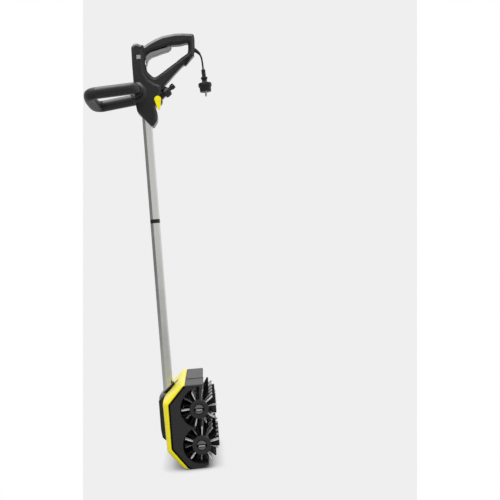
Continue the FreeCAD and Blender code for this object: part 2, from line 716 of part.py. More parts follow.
def roller(name, axis):
    """Core, black tufts, grey tufts and shaft of one roller, and its twist-lock knob."""
    near = -size.brush_near_y
    core = keep(new_body(name + "_roller_core"))
    bore = disc(*axis, size.shaft_radius)
    pad(core, disc(*axis, size.core_radius).cut(bore), "-Sizes.brush_near_y + Sizes.ring_thick", "Sizes.brush_far_y")
    pad(core, disc(*axis, size.ring_radius).cut(disc(*axis, size.knob_radius + size.part_gap)),
        "-Sizes.brush_near_y", "-Sizes.brush_near_y + Sizes.knob_depth + Sizes.seam")
    pad(core, disc(*axis, size.ring_radius).cut(bore),
        "-Sizes.brush_near_y + Sizes.knob_depth + Sizes.seam", "-Sizes.brush_near_y + Sizes.ring_thick")

    black = keep(new_body(name + "_black_tufts"))
    start = "-Sizes.brush_near_y + Sizes.ring_thick"
    sleeve = disc(*axis, size.sleeve_radius).cut(disc(*axis, size.core_radius))
    pad(black, sleeve, start, "Sizes.brush_far_y")
    row_face = tuft_row(*axis, TUFT_ANGLES[name] + 180 / TUFTS_PER_ROW, TUFTS_PER_ROW)
    first_row = pad(black, row_face, start, start + " + Sizes.tuft_row")
    rows = black.newObject("PartDesign::LinearPattern", "rows")
    rows.Originals = [first_row]
    rows.Direction = (plane_of(black, "XZ_Plane"), [""])
    rows.Reversed = True
    rows.Occurrences = ROWS
    rows.setExpression("Length", "Sizes.tuft_pitch * %d" % (ROWS - 1))
    black.Tip = rows

    grey = []
    for index in range(ROWS):
        low = near + size.ring_thick + index * size.tuft_pitch
        turn = TUFT_ANGLES[name] + (index % 2) * 360 / TUFTS_PER_ROW
        for arm_index in range(TUFTS_PER_ROW // 2):
            face = tuft(*axis, turn + 720 * arm_index / TUFTS_PER_ROW, size.sleeve_radius)
            face.rotate(Vector(0, 0, 0), Vector(1, 0, 0), 90)
            face.translate(Vector(0, low, 0))
            grey.append(face.extrude(Vector(0, size.tuft_row, 0)))
    trimmed = Part.makeCompound(grey).cut(Part.makeCylinder(
        size.sleeve_radius, 2 * size.head_half, Vector(axis[0], -size.head_half, axis[1]), Vector(0, 1, 0)))
    keep(group(name + "_grey_tufts", trimmed.Solids))

    shaft_end = "-Sizes.brush_near_y + Sizes.knob_depth + Sizes.seam"
    keep(prism(name + "_shaft", disc(*axis, size.shaft_radius), shaft_end, "Sizes.shaft_far_y"))

    knob = keep(new_body(name + "_knob"))
    pad(knob, disc(*axis, size.knob_radius), "-Sizes.brush_near_y", "-Sizes.brush_near_y + Sizes.knob_depth")
    knob_bar = rectangle(axis[0] - size.knob_radius * 0.85, axis[1] - size.knob_bar / 2,
                         axis[0] + size.knob_radius * 0.85, axis[1] + size.knob_bar / 2)
    pad(knob, knob_bar, "-Sizes.brush_near_y - Sizes.knob_proud", "-Sizes.brush_near_y")


roller("upper", upper_axis)
roller("lower", lower_axis)

# Joint: housing with two cheeks, pin and knuckle
hump_seat_x = size.brush_x - size.tunnel_radius - size.wall
hump = polygon([
    (hump_seat_x, size.hump_low_z), (-size.hump_x + 1.6 * size.overrun, size.hump_low_z),
    (-size.hump_x + size.overrun / 2, size.hump_low_z + size.wall), (-size.hump_x + size.wall, size.hump_low_z + size.overrun / 2),
    (-size.hump_x, size.hump_low_z + 1.5 * size.overrun), (-size.hump_x, size.pivot_z - size.wall),
    (-size.pivot_x - size.wall, size.pivot_z + size.pin_head + size.wall),
    (-size.hump_right_x, size.pivot_z + 1.5 * size.barrel_radius), (hump_seat_x, size.pivot_z + 1.5 * size.barrel_radius),
])
joint_housing = keep(prism("joint_housing", hump, "-Sizes.joint_half", "Sizes.joint_half"))
slot = rectangle(-size.hump_x - size.overrun, size.pivot_z - size.slot_floor, size.overrun, size.rear_z)
pocket(joint_housing, slot, "-Sizes.slot_half", "Sizes.slot_half")
pocket(joint_housing, disc(*pivot, size.pin_radius), "-Sizes.joint_half - Sizes.overrun", "Sizes.joint_half + Sizes.overrun")
joint_pin = keep(new_body("joint_pin"))
pad(joint_pin, disc(*pivot, size.pin_radius), "-Sizes.joint_half", "Sizes.joint_half")

socket = polygon([
    (-size.pivot_x - size.barrel_radius / 2, size.pivot_z), (-size.stick_x - size.tube_width / 2 - size.wall, size.tube_low_z),
    (-size.stick_x - size.tube_width / 3, size.tube_low_z + size.spray_radius * 2), (-size.socket_right_x, size.socket_top_z),
    (-size.socket_right_x, size.pivot_z), (-size.pivot_x + size.barrel_radius / 2, size.pivot_z - size.barrel_radius / 2),
])
knuckle = keep(prism("knuckle", joined(disc(*pivot, size.barrel_radius), socket), "-Sizes.knuckle_half", "Sizes.knuckle_half"))


def tube_outline(outset):
    """Outline of the tube seen from above, moved outwards."""
    half_width, half_depth = size.tube_width / 2, size.tube_depth / 2
    right = [(a * half_width - size.stick_x, b * half_depth) for a, b in TUBE_SHARES]
    points = right + [(x, -y) for x, y in reversed(right)]
    return polygon(inset(points, -outset))


tube_face = tube_outline(0).cut(tube_outline(-size.tube_wall))
pocket(knuckle, tube_outline(0), "Sizes.tube_low_z", "Sizes.rear_z", "XY_Plane")
pocket(knuckle, disc(*pivot, size.pin_radius + size.running_gap), "-Sizes.joint_half", "Sizes.joint_half")
keep(prism("lower_tube", tube_face, "Sizes.tube_low_z", "Sizes.joiner_z - Sizes.joiner_height / 2", "XY_Plane"))
keep(prism("upper_tube", tube_face, "Sizes.joiner_z + Sizes.joiner_height / 2", "Sizes.tube_high_z", "XY_Plane"))
spigot_face = tube_outline(-size.tube_wall).cut(tube_outline(-2 * size.tube_wall))
tube_joiner = keep(new_body("tube_joiner"))
pad(tube_joiner, tube_outline(size.running_gap).cut(tube_outline(-2 * size.tube_wall)),
    "Sizes.joiner_z - Sizes.joiner_height / 2", "Sizes.joiner_z + Sizes.joiner_height / 2", "XY_Plane")
pad(tube_joiner, spigot_face, "Sizes.joiner_z - Sizes.joiner_spigot / 2", "Sizes.joiner_z + Sizes.joiner_spigot / 2",
    "XY_Plane")


# Handle casing: two shells that meet in the middle plane
def casing_point(share):
    """Place in the handle from its shares of width and height."""
    left = -size.stick_x - size.casing_left_x
    return (left + share[0] * size.casing_width, size.casing_low_z + share[1] * size.casing_height)


def casing_points(shares):
    """Places in the handle from a table of shares."""
    return [casing_point(share) for share in shares]


outer_points = casing_points(CASING_BACK_SHARES + GRIP_TOP_SHARES[1:] + CASING_END_SHARES[1:-1])
column_points = casing_points(CASING_BACK_SHARES + COLUMN_RIGHT_SHARES[1:] + CASING_END_SHARES[9:-1])
hole_points = casing_points(HOLE_SHARES)
ring_face = polygon(outer_points).cut(polygon(hole_points))
column_face = polygon(column_points)
ring_room = polygon(inset(outer_points, size.casing_wall)).cut(polygon(inset(hole_points, -size.casing_wall)))
column_room = polygon(inset(column_points, size.casing_wall))
valve_axis = casing_point(VALVE_SHARES)
button_axis = casing_point(BUTTON_SHARES)
nut_middle = casing_point(NUT_SHARES)
hub_axis = (-size.stick_x - size.hub_x, size.hub_z)
inlet_turn = math.radians(size.inlet_angle)
inlet_way = (math.cos(inlet_turn), math.sin(inlet_turn))


def along_inlet(distance, aside=0.0):
    """Point at a distance along the inlet from the middle of its nut, and aside of its axis."""
    return (nut_middle[0] + distance * inlet_way[0] - aside * inlet_way[1],
            nut_middle[1] + distance * inlet_way[1] + aside * inlet_way[0])


def inlet_neck(half_width, start, end):
    """Outline of a straight neck along the inlet."""
    return polygon([along_inlet(start, -half_width), along_inlet(end, -half_width),
                    along_inlet(end, half_width), along_inlet(start, half_width)])


# Gland where the lead leaves, on the line of its first run
gland_way = Vector(LEAD_ROUTE[1][0] - LEAD_ROUTE[0][0], 0, LEAD_ROUTE[1][1] - LEAD_ROUTE[0][1]).normalize()
gland_end = Vector(LEAD_ROUTE[0][0], 0, LEAD_ROUTE[0][1])
gland_start = gland_end - gland_way * size.gland_length
keep(group("lead_gland", [rod(size.gland_radius, gland_start, gland_end)]))
gland_side = Vector(-gland_way.z, 0, gland_way.x) * size.gland_radius
gland_seat = polygon([(place_at.x, place_at.z) for place_at in (
    gland_start - gland_side, gland_end - gland_side, gland_end + gland_side, gland_start + gland_side)])

# Trigger: blade along the underside of the grip, and a tongue that carries it on its pin
trigger_line = casing_points(TRIGGER_TOP_SHARES)
trigger_pivot = casing_point(TRIGGER_PIVOT_SHARES)
tongue_low = trigger_line[0][1]
tongue = rectangle(trigger_pivot[0] - 2 * size.trigger_pin, tongue_low - 2 * size.trigger_pin,
                   trigger_pivot[0] + 2 * size.trigger_pin, trigger_pivot[1])
blade_top = [(x, z - size.trigger_gap) for x, z in trigger_line[:-1]]
blade_top.append((trigger_line[-1][0] + 2 * size.trigger_gap, trigger_line[-1][1]))
blade = polygon(blade_top + casing_points(TRIGGER_LOW_SHARES))
trigger_face = joined(blade, tongue, disc(*trigger_pivot, 2 * size.trigger_pin))
trigger_shift = (trigger_pivot[1] - trigger_line[-1][1]) * math.tan(math.radians(size.trigger_angle))
raised = [(x, z + size.trigger_travel) for x, z in trigger_line[1:-1]]
raised.append((trigger_line[-1][0] - trigger_shift - size.trigger_gap, trigger_line[-1][1] + size.trigger_travel))
slot_low = trigger_line[-1][1] - size.trigger_travel
slot_ends = [(trigger_line[-1][0] + size.wall, slot_low), (trigger_line[-1][0] - trigger_shift - size.trigger_gap, slot_low)]
trigger_slot = polygon(trigger_line + slot_ends + list(reversed(raised)))
tongue_room = rectangle(trigger_pivot[0] - 2 * size.trigger_pin - size.trigger_gap, tongue_low - size.trigger_travel / 2,
                        trigger_pivot[0] + 2 * size.trigger_pin + 2 * size.trigger_gap,
                        trigger_pivot[1] + 2 * size.trigger_pin + size.trigger_gap)
trigger_slot = joined(trigger_slot, tongue_room).common(polygon(outer_points)).cut(polygon(hole_points))


screw_sets = [(casing_points(COLUMN_SCREW_SHARES), "Sizes.column_half"), (casing_points(GRIP_SCREW_SHARES), "Sizes.grip_half")]


def casing_shell(label, near):
    """Half of the handle's casing, on the side of -Y when near, with the function that turns its depths to y."""
    body = keep(new_body(label))
    span = (lambda low, high: ("-(%s)" % high, "-(%s)" % low)) if near else (lambda low, high: (low, high))
    pad(body, ring_face, *span("0", "Sizes.grip_half"))
    bevel(body, size.grip_half * (-1 if near else 1), "Sizes.grip_bevel")
    pad(body, column_face, *span("0", "Sizes.column_half"))
    bevel(body, size.column_half * (-1 if near else 1), "Sizes.casing_bevel")
    pocket(body, ring_room, *span("-Sizes.overrun", "Sizes.grip_half - Sizes.casing_wall"))
    pocket(body, column_room, *span("-Sizes.overrun", "Sizes.column_half - Sizes.casing_wall"))
    boss = polygon([(hub_axis[0] + size.boss_radius * math.cos(math.radians(angle)),
                     hub_axis[1] + size.boss_radius * math.sin(math.radians(angle)))
                    for angle in BOSS_CORNERS]).common(column_face)
    pad(body, boss, *span("Sizes.column_half", "Sizes.column_half + Sizes.boss_thick"))
    for places, outside in screw_sets:
        posts = discs(places, size.screw_head + size.screw_radius / 2)
        pad(body, posts, *span("0", outside + " - Sizes.casing_wall"))
    pocket(body, trigger_slot, *span("-Sizes.overrun", "Sizes.trigger_half + Sizes.trigger_gap"))
    pocket(body, disc(*trigger_pivot, size.trigger_pin), *span("-Sizes.overrun", "Sizes.grip_half - Sizes.wall / 2"))
    pocket(body, disc(*hub_axis, size.hub_bolt), *span("-Sizes.overrun", "Sizes.column_half + Sizes.overrun"))
    pocket(body, inlet_neck(size.neck_half, -2 * size.overrun, 0.0), *span("-Sizes.overrun", "Sizes.neck_half"))
    pocket(body, disc(*valve_axis, size.valve_half + size.part_gap), *span("-Sizes.overrun", "Sizes.valve_half + Sizes.part_gap"))
    pocket(body, gland_seat, *span("-Sizes.overrun", "Sizes.gland_radius"))
    pocket(body, inlet_neck(size.nut_radius + size.part_gap, -size.nut_length / 2, size.overrun),
           *span("-Sizes.overrun", "Sizes.nut_radius + Sizes.part_gap"))
    room = tube_outline(0).common(rectangle(-2 * size.loop_reach, -size.column_half, size.loop_reach, size.column_half))
    pocket(body, room, "Sizes.casing_low_z - Sizes.overrun", "Sizes.tube_high_z", "XY_Plane")
    return body, span


def bevel(body, depth, width):
    """Chamfer all edges of the flat face of a body that lies at a given y."""
    document.recompute()
    tip = body.Tip
    names = []
    for index, face in enumerate(tip.Shape.Faces, start=1):
        box = face.BoundBox
        if box.YLength < size.part_gap and abs(box.Center.y - depth) < size.part_gap:
            names.append("Face%d" % index)
    feature = body.newObject("PartDesign::Chamfer", "bevel")
    feature.Base = (tip, names)
    feature.setExpression("Size", width)
    body.Tip = feature
    return feature


near_shell, near_span = casing_shell("near_handle_shell", True)
far_shell, far_span = casing_shell("far_handle_shell", False)
button_hole_half = size.button_width / 2 + size.part_gap
pocket(near_shell, rectangle(button_axis[0] - button_hole_half, button_axis[1] - button_hole_half,
                             button_axis[0] + button_hole_half, button_axis[1] + button_hole_half),
       "-Sizes.column_half - Sizes.overrun", "-Sizes.column_half + 2 * Sizes.casing_wall")
pocket(near_shell, disc(*valve_axis, size.spindle_radius + size.running_gap),
       "-Sizes.column_half - Sizes.overrun", "-Sizes.valve_half")
lever_ring = disc(*valve_axis, size.lever_hub + 2 * size.part_gap + size.wall / 2)
pad(near_shell, lever_ring.cut(disc(*valve_axis, size.lever_hub + size.part_gap)).common(column_face),
    "-Sizes.column_half - Sizes.wall", "-Sizes.column_half")

# Screws of the casing, from the far side
far_screws = []
for (places, outside), half in zip(screw_sets, (size.column_half, size.grip_half)):
    near_end = "-%s + 2 * Sizes.casing_wall" % outside
    seat = "%s - Sizes.screw_sink" % outside
    pocket(far_shell, discs(places, size.screw_head + size.part_gap), seat, "Sizes.column_half + Sizes.overrun")
    for shell in (near_shell, far_shell):
        pocket(shell, discs(places, size.screw_radius), near_end, seat)
    for x, z in places:
        seat_at = Vector(x, half - size.screw_sink, z)
        screw = rod(size.screw_radius, Vector(x, 2 * size.casing_wall - half, z), seat_at)
        far_screws.append(screw.fuse(rod(size.screw_head, seat_at, seat_at + Vector(0, size.screw_head_thick, 0))))
keep(group("casing_screws", far_screws))

# Trigger and its pin, lock button, microswitch
trigger = keep(prism("trigger", trigger_face, "-Sizes.trigger_half", "Sizes.trigger_half"))
pocket(trigger, disc(*trigger_pivot, size.trigger_pin + size.running_gap), "-Sizes.column_half", "Sizes.column_half")
keep(prism("trigger_pin", disc(*trigger_pivot, size.trigger_pin), "-Sizes.grip_half + Sizes.wall / 2",
           "Sizes.grip_half - Sizes.wall / 2"))
lock_button = keep(new_body("lock_button"))
button_half = size.button_width / 2
pad(lock_button, rectangle(button_axis[0] - button_half, button_axis[1] - button_half,
                           button_axis[0] + button_half, button_axis[1] + button_half),
    "-Sizes.column_half - Sizes.button_proud", "-Sizes.column_half + 3 * Sizes.casing_wall")
lip_half = button_half + size.button_lip
pad(lock_button, rectangle(button_axis[0] - lip_half, button_axis[1] - lip_half,
                           button_axis[0] + lip_half, button_axis[1] + lip_half),
    "-Sizes.column_half + Sizes.casing_wall + Sizes.part_gap",
    "-Sizes.column_half + Sizes.casing_wall + Sizes.part_gap + Sizes.button_lip")
switch_low = casing_point(SWITCH_LOW_SHARES)
switch_high = casing_point(SWITCH_HIGH_SHARES)
keep(prism("microswitch", rectangle(*switch_low, *switch_high), "-Sizes.grip_half + Sizes.casing_wall",
           "Sizes.grip_half - Sizes.casing_wall"))

# Water inlet: valve with its lever, nut and nipple
valve_block = joined(disc(*valve_axis, size.valve_half), inlet_neck(size.neck_half, -1.6 * size.overrun, -size.nut_length / 2))
valve_body = keep(new_body("valve_body"))
pad(valve_body, disc(*valve_axis, size.valve_half), "-Sizes.valve_half", "Sizes.valve_half")
pad(valve_body, valve_block, "-Sizes.neck_half", "Sizes.neck_half")
hose_top = valve_axis[1] + size.valve_half - size.hose_radius
port_x = valve_axis[0] - size.valve_half - size.wall
pad(valve_body, rectangle(port_x, hose_top - size.hose_radius, valve_axis[0], hose_top + size.hose_radius),
    "-Sizes.hose_radius", "Sizes.hose_radius")
pocket(valve_body, disc(*valve_axis, size.spindle_radius + size.running_gap), "-2 * Sizes.valve_half", "Sizes.neck_half")
lever_tip = (valve_axis[0] + size.wall / 2, valve_axis[1] - size.lever_reach + size.lever_tip)
arm_face = polygon([(valve_axis[0] - size.lever_hub * 0.6, valve_axis[1]), (lever_tip[0] - size.lever_tip, lever_tip[1]),
                    (lever_tip[0] + size.lever_tip, lever_tip[1]), (valve_axis[0] + size.lever_hub * 0.6, valve_axis[1])])
arm_face = joined(arm_face, disc(*lever_tip, size.lever_tip))
valve_lever = keep(new_body("valve_lever"))
pad(valve_lever, disc(*valve_axis, size.lever_hub), "-Sizes.column_half - Sizes.lever_thick",
    "-Sizes.column_half - Sizes.part_gap")
pad(valve_lever, arm_face, "-Sizes.column_half - Sizes.lever_thick", "-Sizes.column_half - Sizes.wall - 2 * Sizes.part_gap")
pad(valve_lever, disc(*valve_axis, size.spindle_radius), "-Sizes.column_half - Sizes.part_gap", "Sizes.neck_half / 2")

inlet_rotation = Rotation(Vector(0, 1, 0), 90 - size.inlet_angle)


def on_inlet(item, distance):
    """Put a turned piece on the inlet's axis, at a distance from the middle of the nut."""
    x, z = along_inlet(distance)
    return place(item, x=repr(x), z=repr(z), turn=inlet_rotation)


nut_bore = size.nipple_seat
inlet_nut = keep(on_inlet(turned("inlet_nut", [
    (nut_bore, 0), (size.nut_radius - size.wall / 2, 0), (size.nut_radius, size.wall / 2),
    (size.nut_radius, size.nut_length - size.wall), (size.nut_radius - size.wall, size.nut_length), (nut_bore, size.nut_length),
]), -size.nut_length / 2))
barb = size.nipple_radius
inlet_nipple = keep(on_inlet(turned("inlet_nipple", [
    (size.nipple_bore, 0), (nut_bore, 0), (nut_bore, size.nut_length), (barb, size.nut_length),
    (barb, size.nut_length + size.nipple_reach - size.wall),
    (barb - size.wall / 2, size.nut_length + size.nipple_reach), (size.nipple_bore, size.nut_length + size.nipple_reach),
]), -size.nut_length / 2))

# Cable hook on the corner of the strut
hook_face = polygon(casing_points(HOOK_SHARES)).cut(polygon(outer_points))
cable_hook = keep(prism("cable_hook", hook_face, "-Sizes.hook_half", "Sizes.hook_half"))


# Loop handle, drawn about the axis of its hubs
def loop_points(shares):
    """Places from above, from shares of the loop's reach and half width."""
    return [(-share[0] * size.loop_reach, share[1] * size.loop_half) for share in shares]


half_loop = loop_points(LOOP_OUTER_SHARES + LOOP_INNER_SHARES)
loop_face = joined(polygon(half_loop), polygon([(x, -y) for x, y in half_loop]))
loop_body = new_body("loop_outline")
pad(loop_body, loop_face, "-Sizes.loop_bar / 2", "Sizes.loop_bar / 2", "XY_Plane")
bolt_half = LOOP_BOLT_SHARE * size.loop_half
pocket(loop_body, disc(0, 0, size.hub_bolt + size.running_gap),
       repr(-bolt_half - size.part_gap), repr(bolt_half + size.part_gap))
hub_round = joined(disc(0, 0, size.loop_bar / 2), rectangle(-2 * size.loop_reach, -size.loop_bar / 2, 0, size.loop_bar / 2))
loop_side = prism("loop_side", hub_round, "-2 * Sizes.loop_half", "2 * Sizes.loop_half")
seam_x = -LOOP_SEAM_SHARE * size.loop_reach
loop_parts = [("loop_arms", rectangle(seam_x, -2 * size.loop_half, size.loop_reach, 2 * size.loop_half)),
              ("loop_grip", rectangle(-2 * size.loop_reach, -2 * size.loop_half, seam_x, 2 * size.loop_half))]
for label, half_face in loop_parts:
    zone = prism(label + "_zone", half_face, "-Sizes.loop_bar", "Sizes.loop_bar", "XY_Plane")
    piece = document.addObject("Part::MultiCommon", label)
    piece.Label = label
    piece.Shapes = [loop_body, loop_side, zone]
    place(piece, x=repr(hub_axis[0]), z=repr(hub_axis[1]), turn=Rotation(Vector(0, 1, 0), -size.loop_drop))
    keep(piece)
keep(prism("loop_bolt", disc(*hub_axis, size.hub_bolt), repr(-bolt_half), repr(bolt_half)))


# Cords, hoses and cables: straight runs joined by tangent arcs
def bent_path(points, name, radius):
    """Wire through the points with one arc at each turn, as large as its two runs allow."""
    corners = [Vector(*point) for point in points]
    edges, radii = [], []
    here = corners[0]
    for before, corner, after in zip(corners, corners[1:], corners[2:]):
        first, second = before - corner, after - corner
        turn = math.pi - first.getAngle(second)
        back = 0.45 * min(first.Length, second.Length)
        start, end = corner + first.normalize() * back, corner + second.normalize() * back
        bend = back / math.tan(turn / 2)
        radii.append(bend)
        centre_way = (first + second).normalize()
        middle = corner + centre_way * (math.hypot(back, bend) - bend)
        edges += [Part.LineSegment(here, start).toShape(), Part.Arc(start, middle, end).toShape()]
        here = end
    edges.append(Part.LineSegment(here, corners[-1]).toShape())
    print("%s: radii %s of diameter %.1f" % (name, " ".join("%.1f" % bend for bend in radii), 2 * radius))
    return Part.Wire(edges), corners


def tube_along(name, points, radius):
    """Solid round tube along a route."""
    path, corners = bent_path(points, name, radius)
    ring = Part.Wire(Part.makeCircle(radius, corners[0], corners[1] - corners[0]))
    solid = Part.Solid(path.makePipeShell([ring], True, False))
    expected = math.pi * radius ** 2 * path.Length
    print("%s: length %.1f volume %.1f expected %.1f" % (name, path.Length, solid.Volume, expected))
    return keep(group(name, [solid]))


def in_plane(points, y=0.0):
    """Points of a route that keeps to one plane across the object."""
    return [(x, y, z) for x, z in points]


tube_along("lead", in_plane(LEAD_ROUTE), size.lead_radius)
hose_x = -size.stick_x + size.hose_offset
cable_x = -size.stick_x - size.hose_offset
tube_along("inner_hose", in_plane([
    (port_x, hose_top), (hose_x + size.wall, hose_top), (hose_x, valve_axis[1] - size.valve_half),
    (hose_x + size.part_gap, size.tube_low_z)]), size.hose_radius)
cable_low = casing_point(CABLE_DROP_SHARES)
switch_z = switch_low[1] + size.lead_radius + size.part_gap
tube_along("motor_cable", in_plane([
    (switch_low[0], switch_z), (switch_low[0] - 2 * size.gland_radius, switch_z), casing_point(CABLE_BEND_SHARES), cable_low,
    (cable_x, size.tube_high_z), (cable_x - size.part_gap, size.tube_low_z)]), size.lead_radius)
gland_inside = gland_start - gland_way * size.gland_radius
supply_route = [(gland_start.x, gland_start.z), (gland_inside.x, gland_inside.z)] + casing_points(SUPPLY_SHARES)
supply_z = switch_high[1] - size.lead_radius - size.part_gap
supply_route += [(switch_high[0] + 2 * size.gland_radius, supply_z), (switch_high[0], supply_z)]
tube_along("supply_cable", in_plane(supply_route), size.lead_radius)

# Plug at the end of the lead, on the line of its last run
plug_start = Vector(LEAD_ROUTE[-1][0], 0, LEAD_ROUTE[-1][1])
plug_way = (plug_start - Vector(LEAD_ROUTE[-2][0], 0, LEAD_ROUTE[-2][1])).normalize()
plug_profile = [(a * size.plug_flange, b * size.plug_length) for a, b in PLUG_SHARES]
plug_body = keep(turned("plug_body", plug_profile))
place(plug_body, x=repr(plug_start.x), z=repr(plug_start.z), turn=Rotation(Vector(0, 0, 1), plug_way))
plug_face = plug_start + plug_way * size.plug_length
plug_pins = []
for side in (-1, 1):
    start = plug_face + Vector(0, side * size.plug_pin_apart / 2, 0)
    plug_pins.append(rod(size.plug_pin_radius, start, start + plug_way * size.plug_pin_length))
keep(group("plug_pins", plug_pins))

# Hose and cable between the joint and what they feed in the head
hose_start = (-size.hump_right_x - 2 * size.hose_radius, size.pivot_z)
hose_y = (size.joint_half + size.motor_near_y) / 2 + size.hose_radius
stub_way = Vector(hose_start[0] - size.spray_x, 0, hose_start[1] + size.overrun - size.spray_z).normalize()
stub_start = Vector(size.spray_x, hose_y, size.spray_z)
stub_end = stub_start + stub_way * 2 * size.spray_radius
hose_bore = size.hose_radius - size.wall / 2
spray_bar.Shape = Part.makeCompound(spray_bar.Shape.fuse(rod(size.spray_radius, stub_start, stub_end)).removeSplitter().Solids)
bend = stub_end + stub_way * 2 * size.spray_radius
tube_along("head_hose", [
    (hose_start[0], size.joint_half, hose_start[1]), (hose_start[0], hose_y - size.wall, hose_start[1]),
    tuple(bend), tuple(stub_end)], hose_bore)
keep(group("head_cable", [rod(size.lead_radius, Vector(-size.hump_right_x - size.overrun / 2, size.joint_half, middle_z),
                              Vector(-size.hump_right_x - size.overrun / 2, size.motor_near_y, middle_z))]))

# Screws of the gear case's lid
lid_screw_solids = []
for x, z in lid_screws:
    start = Vector(x, size.case_floor_y + size.case_floor, z)
    seat = Vector(x, size.head_half + size.case_lid, z)
    head_end = seat + Vector(0, size.screw_head_thick, 0)
    lid_screw_solids.append(rod(size.screw_radius, start, seat).fuse(rod(size.screw_head, seat, head_end)))
    pocket(gear_case_lid, disc(x, z, size.screw_radius), "Sizes.head_half - Sizes.overrun", "Sizes.head_half + Sizes.overrun")
    pocket(gear_case, disc(x, z, size.screw_radius), "Sizes.case_floor_y + Sizes.case_floor", "Sizes.head_half + Sizes.overrun")
keep(group("lid_screws", lid_screw_solids))

document.recompute()


# Every object and every sub-part is sound before anything is written
failed = []
for item in document.Objects:
    if "Invalid" in item.State or "Error" in item.State:
        owner = item.getParentGeoFeatureGroup()
        failed.append("%s of %s" % (item.Name, owner.Label if owner else "the document"))
if failed:
    raise RuntimeError("failed objects: " + ", ".join(failed))
os.makedirs("parts", exist_ok=True)
for item in nodes:
    if item.Shape.isNull() or not item.Shape.isValid():
        raise RuntimeError("%s has no valid shape" % item.Label)
for item in nodes:
    print("%-22s solids %3d volume %9.1f" % (item.Label, len(item.Shape.Solids), item.Shape.Volume))
    item.Shape.exportStep("parts/%s.step" % item.Label)
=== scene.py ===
"""Looks of the electric patio cleaner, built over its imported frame.

The scene is in metres; each class holds its sizes in millimetres unless it says otherwise. +Z is up
and the open side of the head is at -Y. The camera, the lead and the studio come first, then the
handle, the stick and the head with its rollers.
"""
import json
import logging
import math
import random
from collections.abc import Callable, Iterable, Iterator, Sequence
from contextlib import contextmanager
from dataclasses import dataclass, replace
from enum import Enum

import bmesh
import bpy
from mathutils import Matrix, Vector

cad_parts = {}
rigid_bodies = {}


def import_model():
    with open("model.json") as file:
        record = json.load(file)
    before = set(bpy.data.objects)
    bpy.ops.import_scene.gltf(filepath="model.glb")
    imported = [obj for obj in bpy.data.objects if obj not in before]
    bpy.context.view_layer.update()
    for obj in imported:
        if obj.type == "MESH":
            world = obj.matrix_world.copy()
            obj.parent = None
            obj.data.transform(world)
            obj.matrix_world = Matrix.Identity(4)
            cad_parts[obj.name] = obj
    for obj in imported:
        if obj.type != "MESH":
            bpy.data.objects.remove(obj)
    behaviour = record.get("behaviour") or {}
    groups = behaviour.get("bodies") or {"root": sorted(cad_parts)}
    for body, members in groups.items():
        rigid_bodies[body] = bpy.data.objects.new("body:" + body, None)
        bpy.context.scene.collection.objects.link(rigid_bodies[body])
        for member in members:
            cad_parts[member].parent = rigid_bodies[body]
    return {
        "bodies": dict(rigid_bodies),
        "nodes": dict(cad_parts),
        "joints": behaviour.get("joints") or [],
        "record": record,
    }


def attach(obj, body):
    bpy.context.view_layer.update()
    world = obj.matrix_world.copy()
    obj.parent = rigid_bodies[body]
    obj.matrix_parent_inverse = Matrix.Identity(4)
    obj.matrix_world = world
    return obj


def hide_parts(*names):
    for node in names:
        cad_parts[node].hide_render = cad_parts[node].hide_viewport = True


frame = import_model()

Pair = tuple[float, float]
Triple = tuple[float, float, float]
Table = tuple[Pair, ...]
Line = Sequence[Pair]
Mesh = bpy.types.Mesh
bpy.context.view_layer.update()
MM = 0.001
CIRCLE = 2 * math.pi
ACROSS = Vector((0, 1, 0))
STICK_X = -40.0
AXIS_RADIUS = 0.01
LOG = logging.getLogger("patio_cleaner")


def operator(operation: str, turned: bool = False) -> Callable[["Link", "Link | float"], "Link"]:
    """Make the method of one operator.

    Args:
        operation: The Math node's operation.
        turned: Whether the other value comes first, as in 1 - mask.

    Returns:
        The method.
    """
    def method(link: "Link", other: "Link | float") -> "Link":
        """Add the operator's Math node."""
        return link.maths(operation, *((other, link) if turned else (link, other)))
    return method


class Link:
    """A socket's value in an expression; each operator adds its Math node."""

    __add__, __radd__ = operator("ADD"), operator("ADD", True)
    __sub__, __rsub__ = operator("SUBTRACT"), operator("SUBTRACT", True)
    __mul__, __rmul__ = operator("MULTIPLY"), operator("MULTIPLY", True)
    __pow__, __rpow__ = operator("POWER"), operator("POWER", True)
    __gt__, __lt__ = operator("GREATER_THAN"), operator("LESS_THAN")

    def __init__(self, tree: bpy.types.NodeTree, socket: bpy.types.NodeSocket) -> None:
        """Keep the socket and the tree that it is in."""
        self.tree = tree
        self.socket = socket

    def maths(self, operation: str, *values: "Link | float", clamp: bool = False) -> "Link":
        """Add one Math node.

        Args:
            operation: The Math node's operation.
            values: What goes into it, in order.
            clamp: Whether the result stays between 0 and 1.

        Returns:
            The node's result.
        """
        node = self.tree.nodes.new("ShaderNodeMath")
        node.operation = operation
        node.use_clamp = clamp
        for socket, value in zip(node.inputs, values):
            if isinstance(value, Link):
                self.tree.links.new(value.socket, socket)
            else:
                socket.default_value = value
        return Link(self.tree, node.outputs[0])

    def clamped(self) -> "Link":
        """The value held between 0 and 1."""
        return self.maths("ADD", self, 0.0, clamp=True)


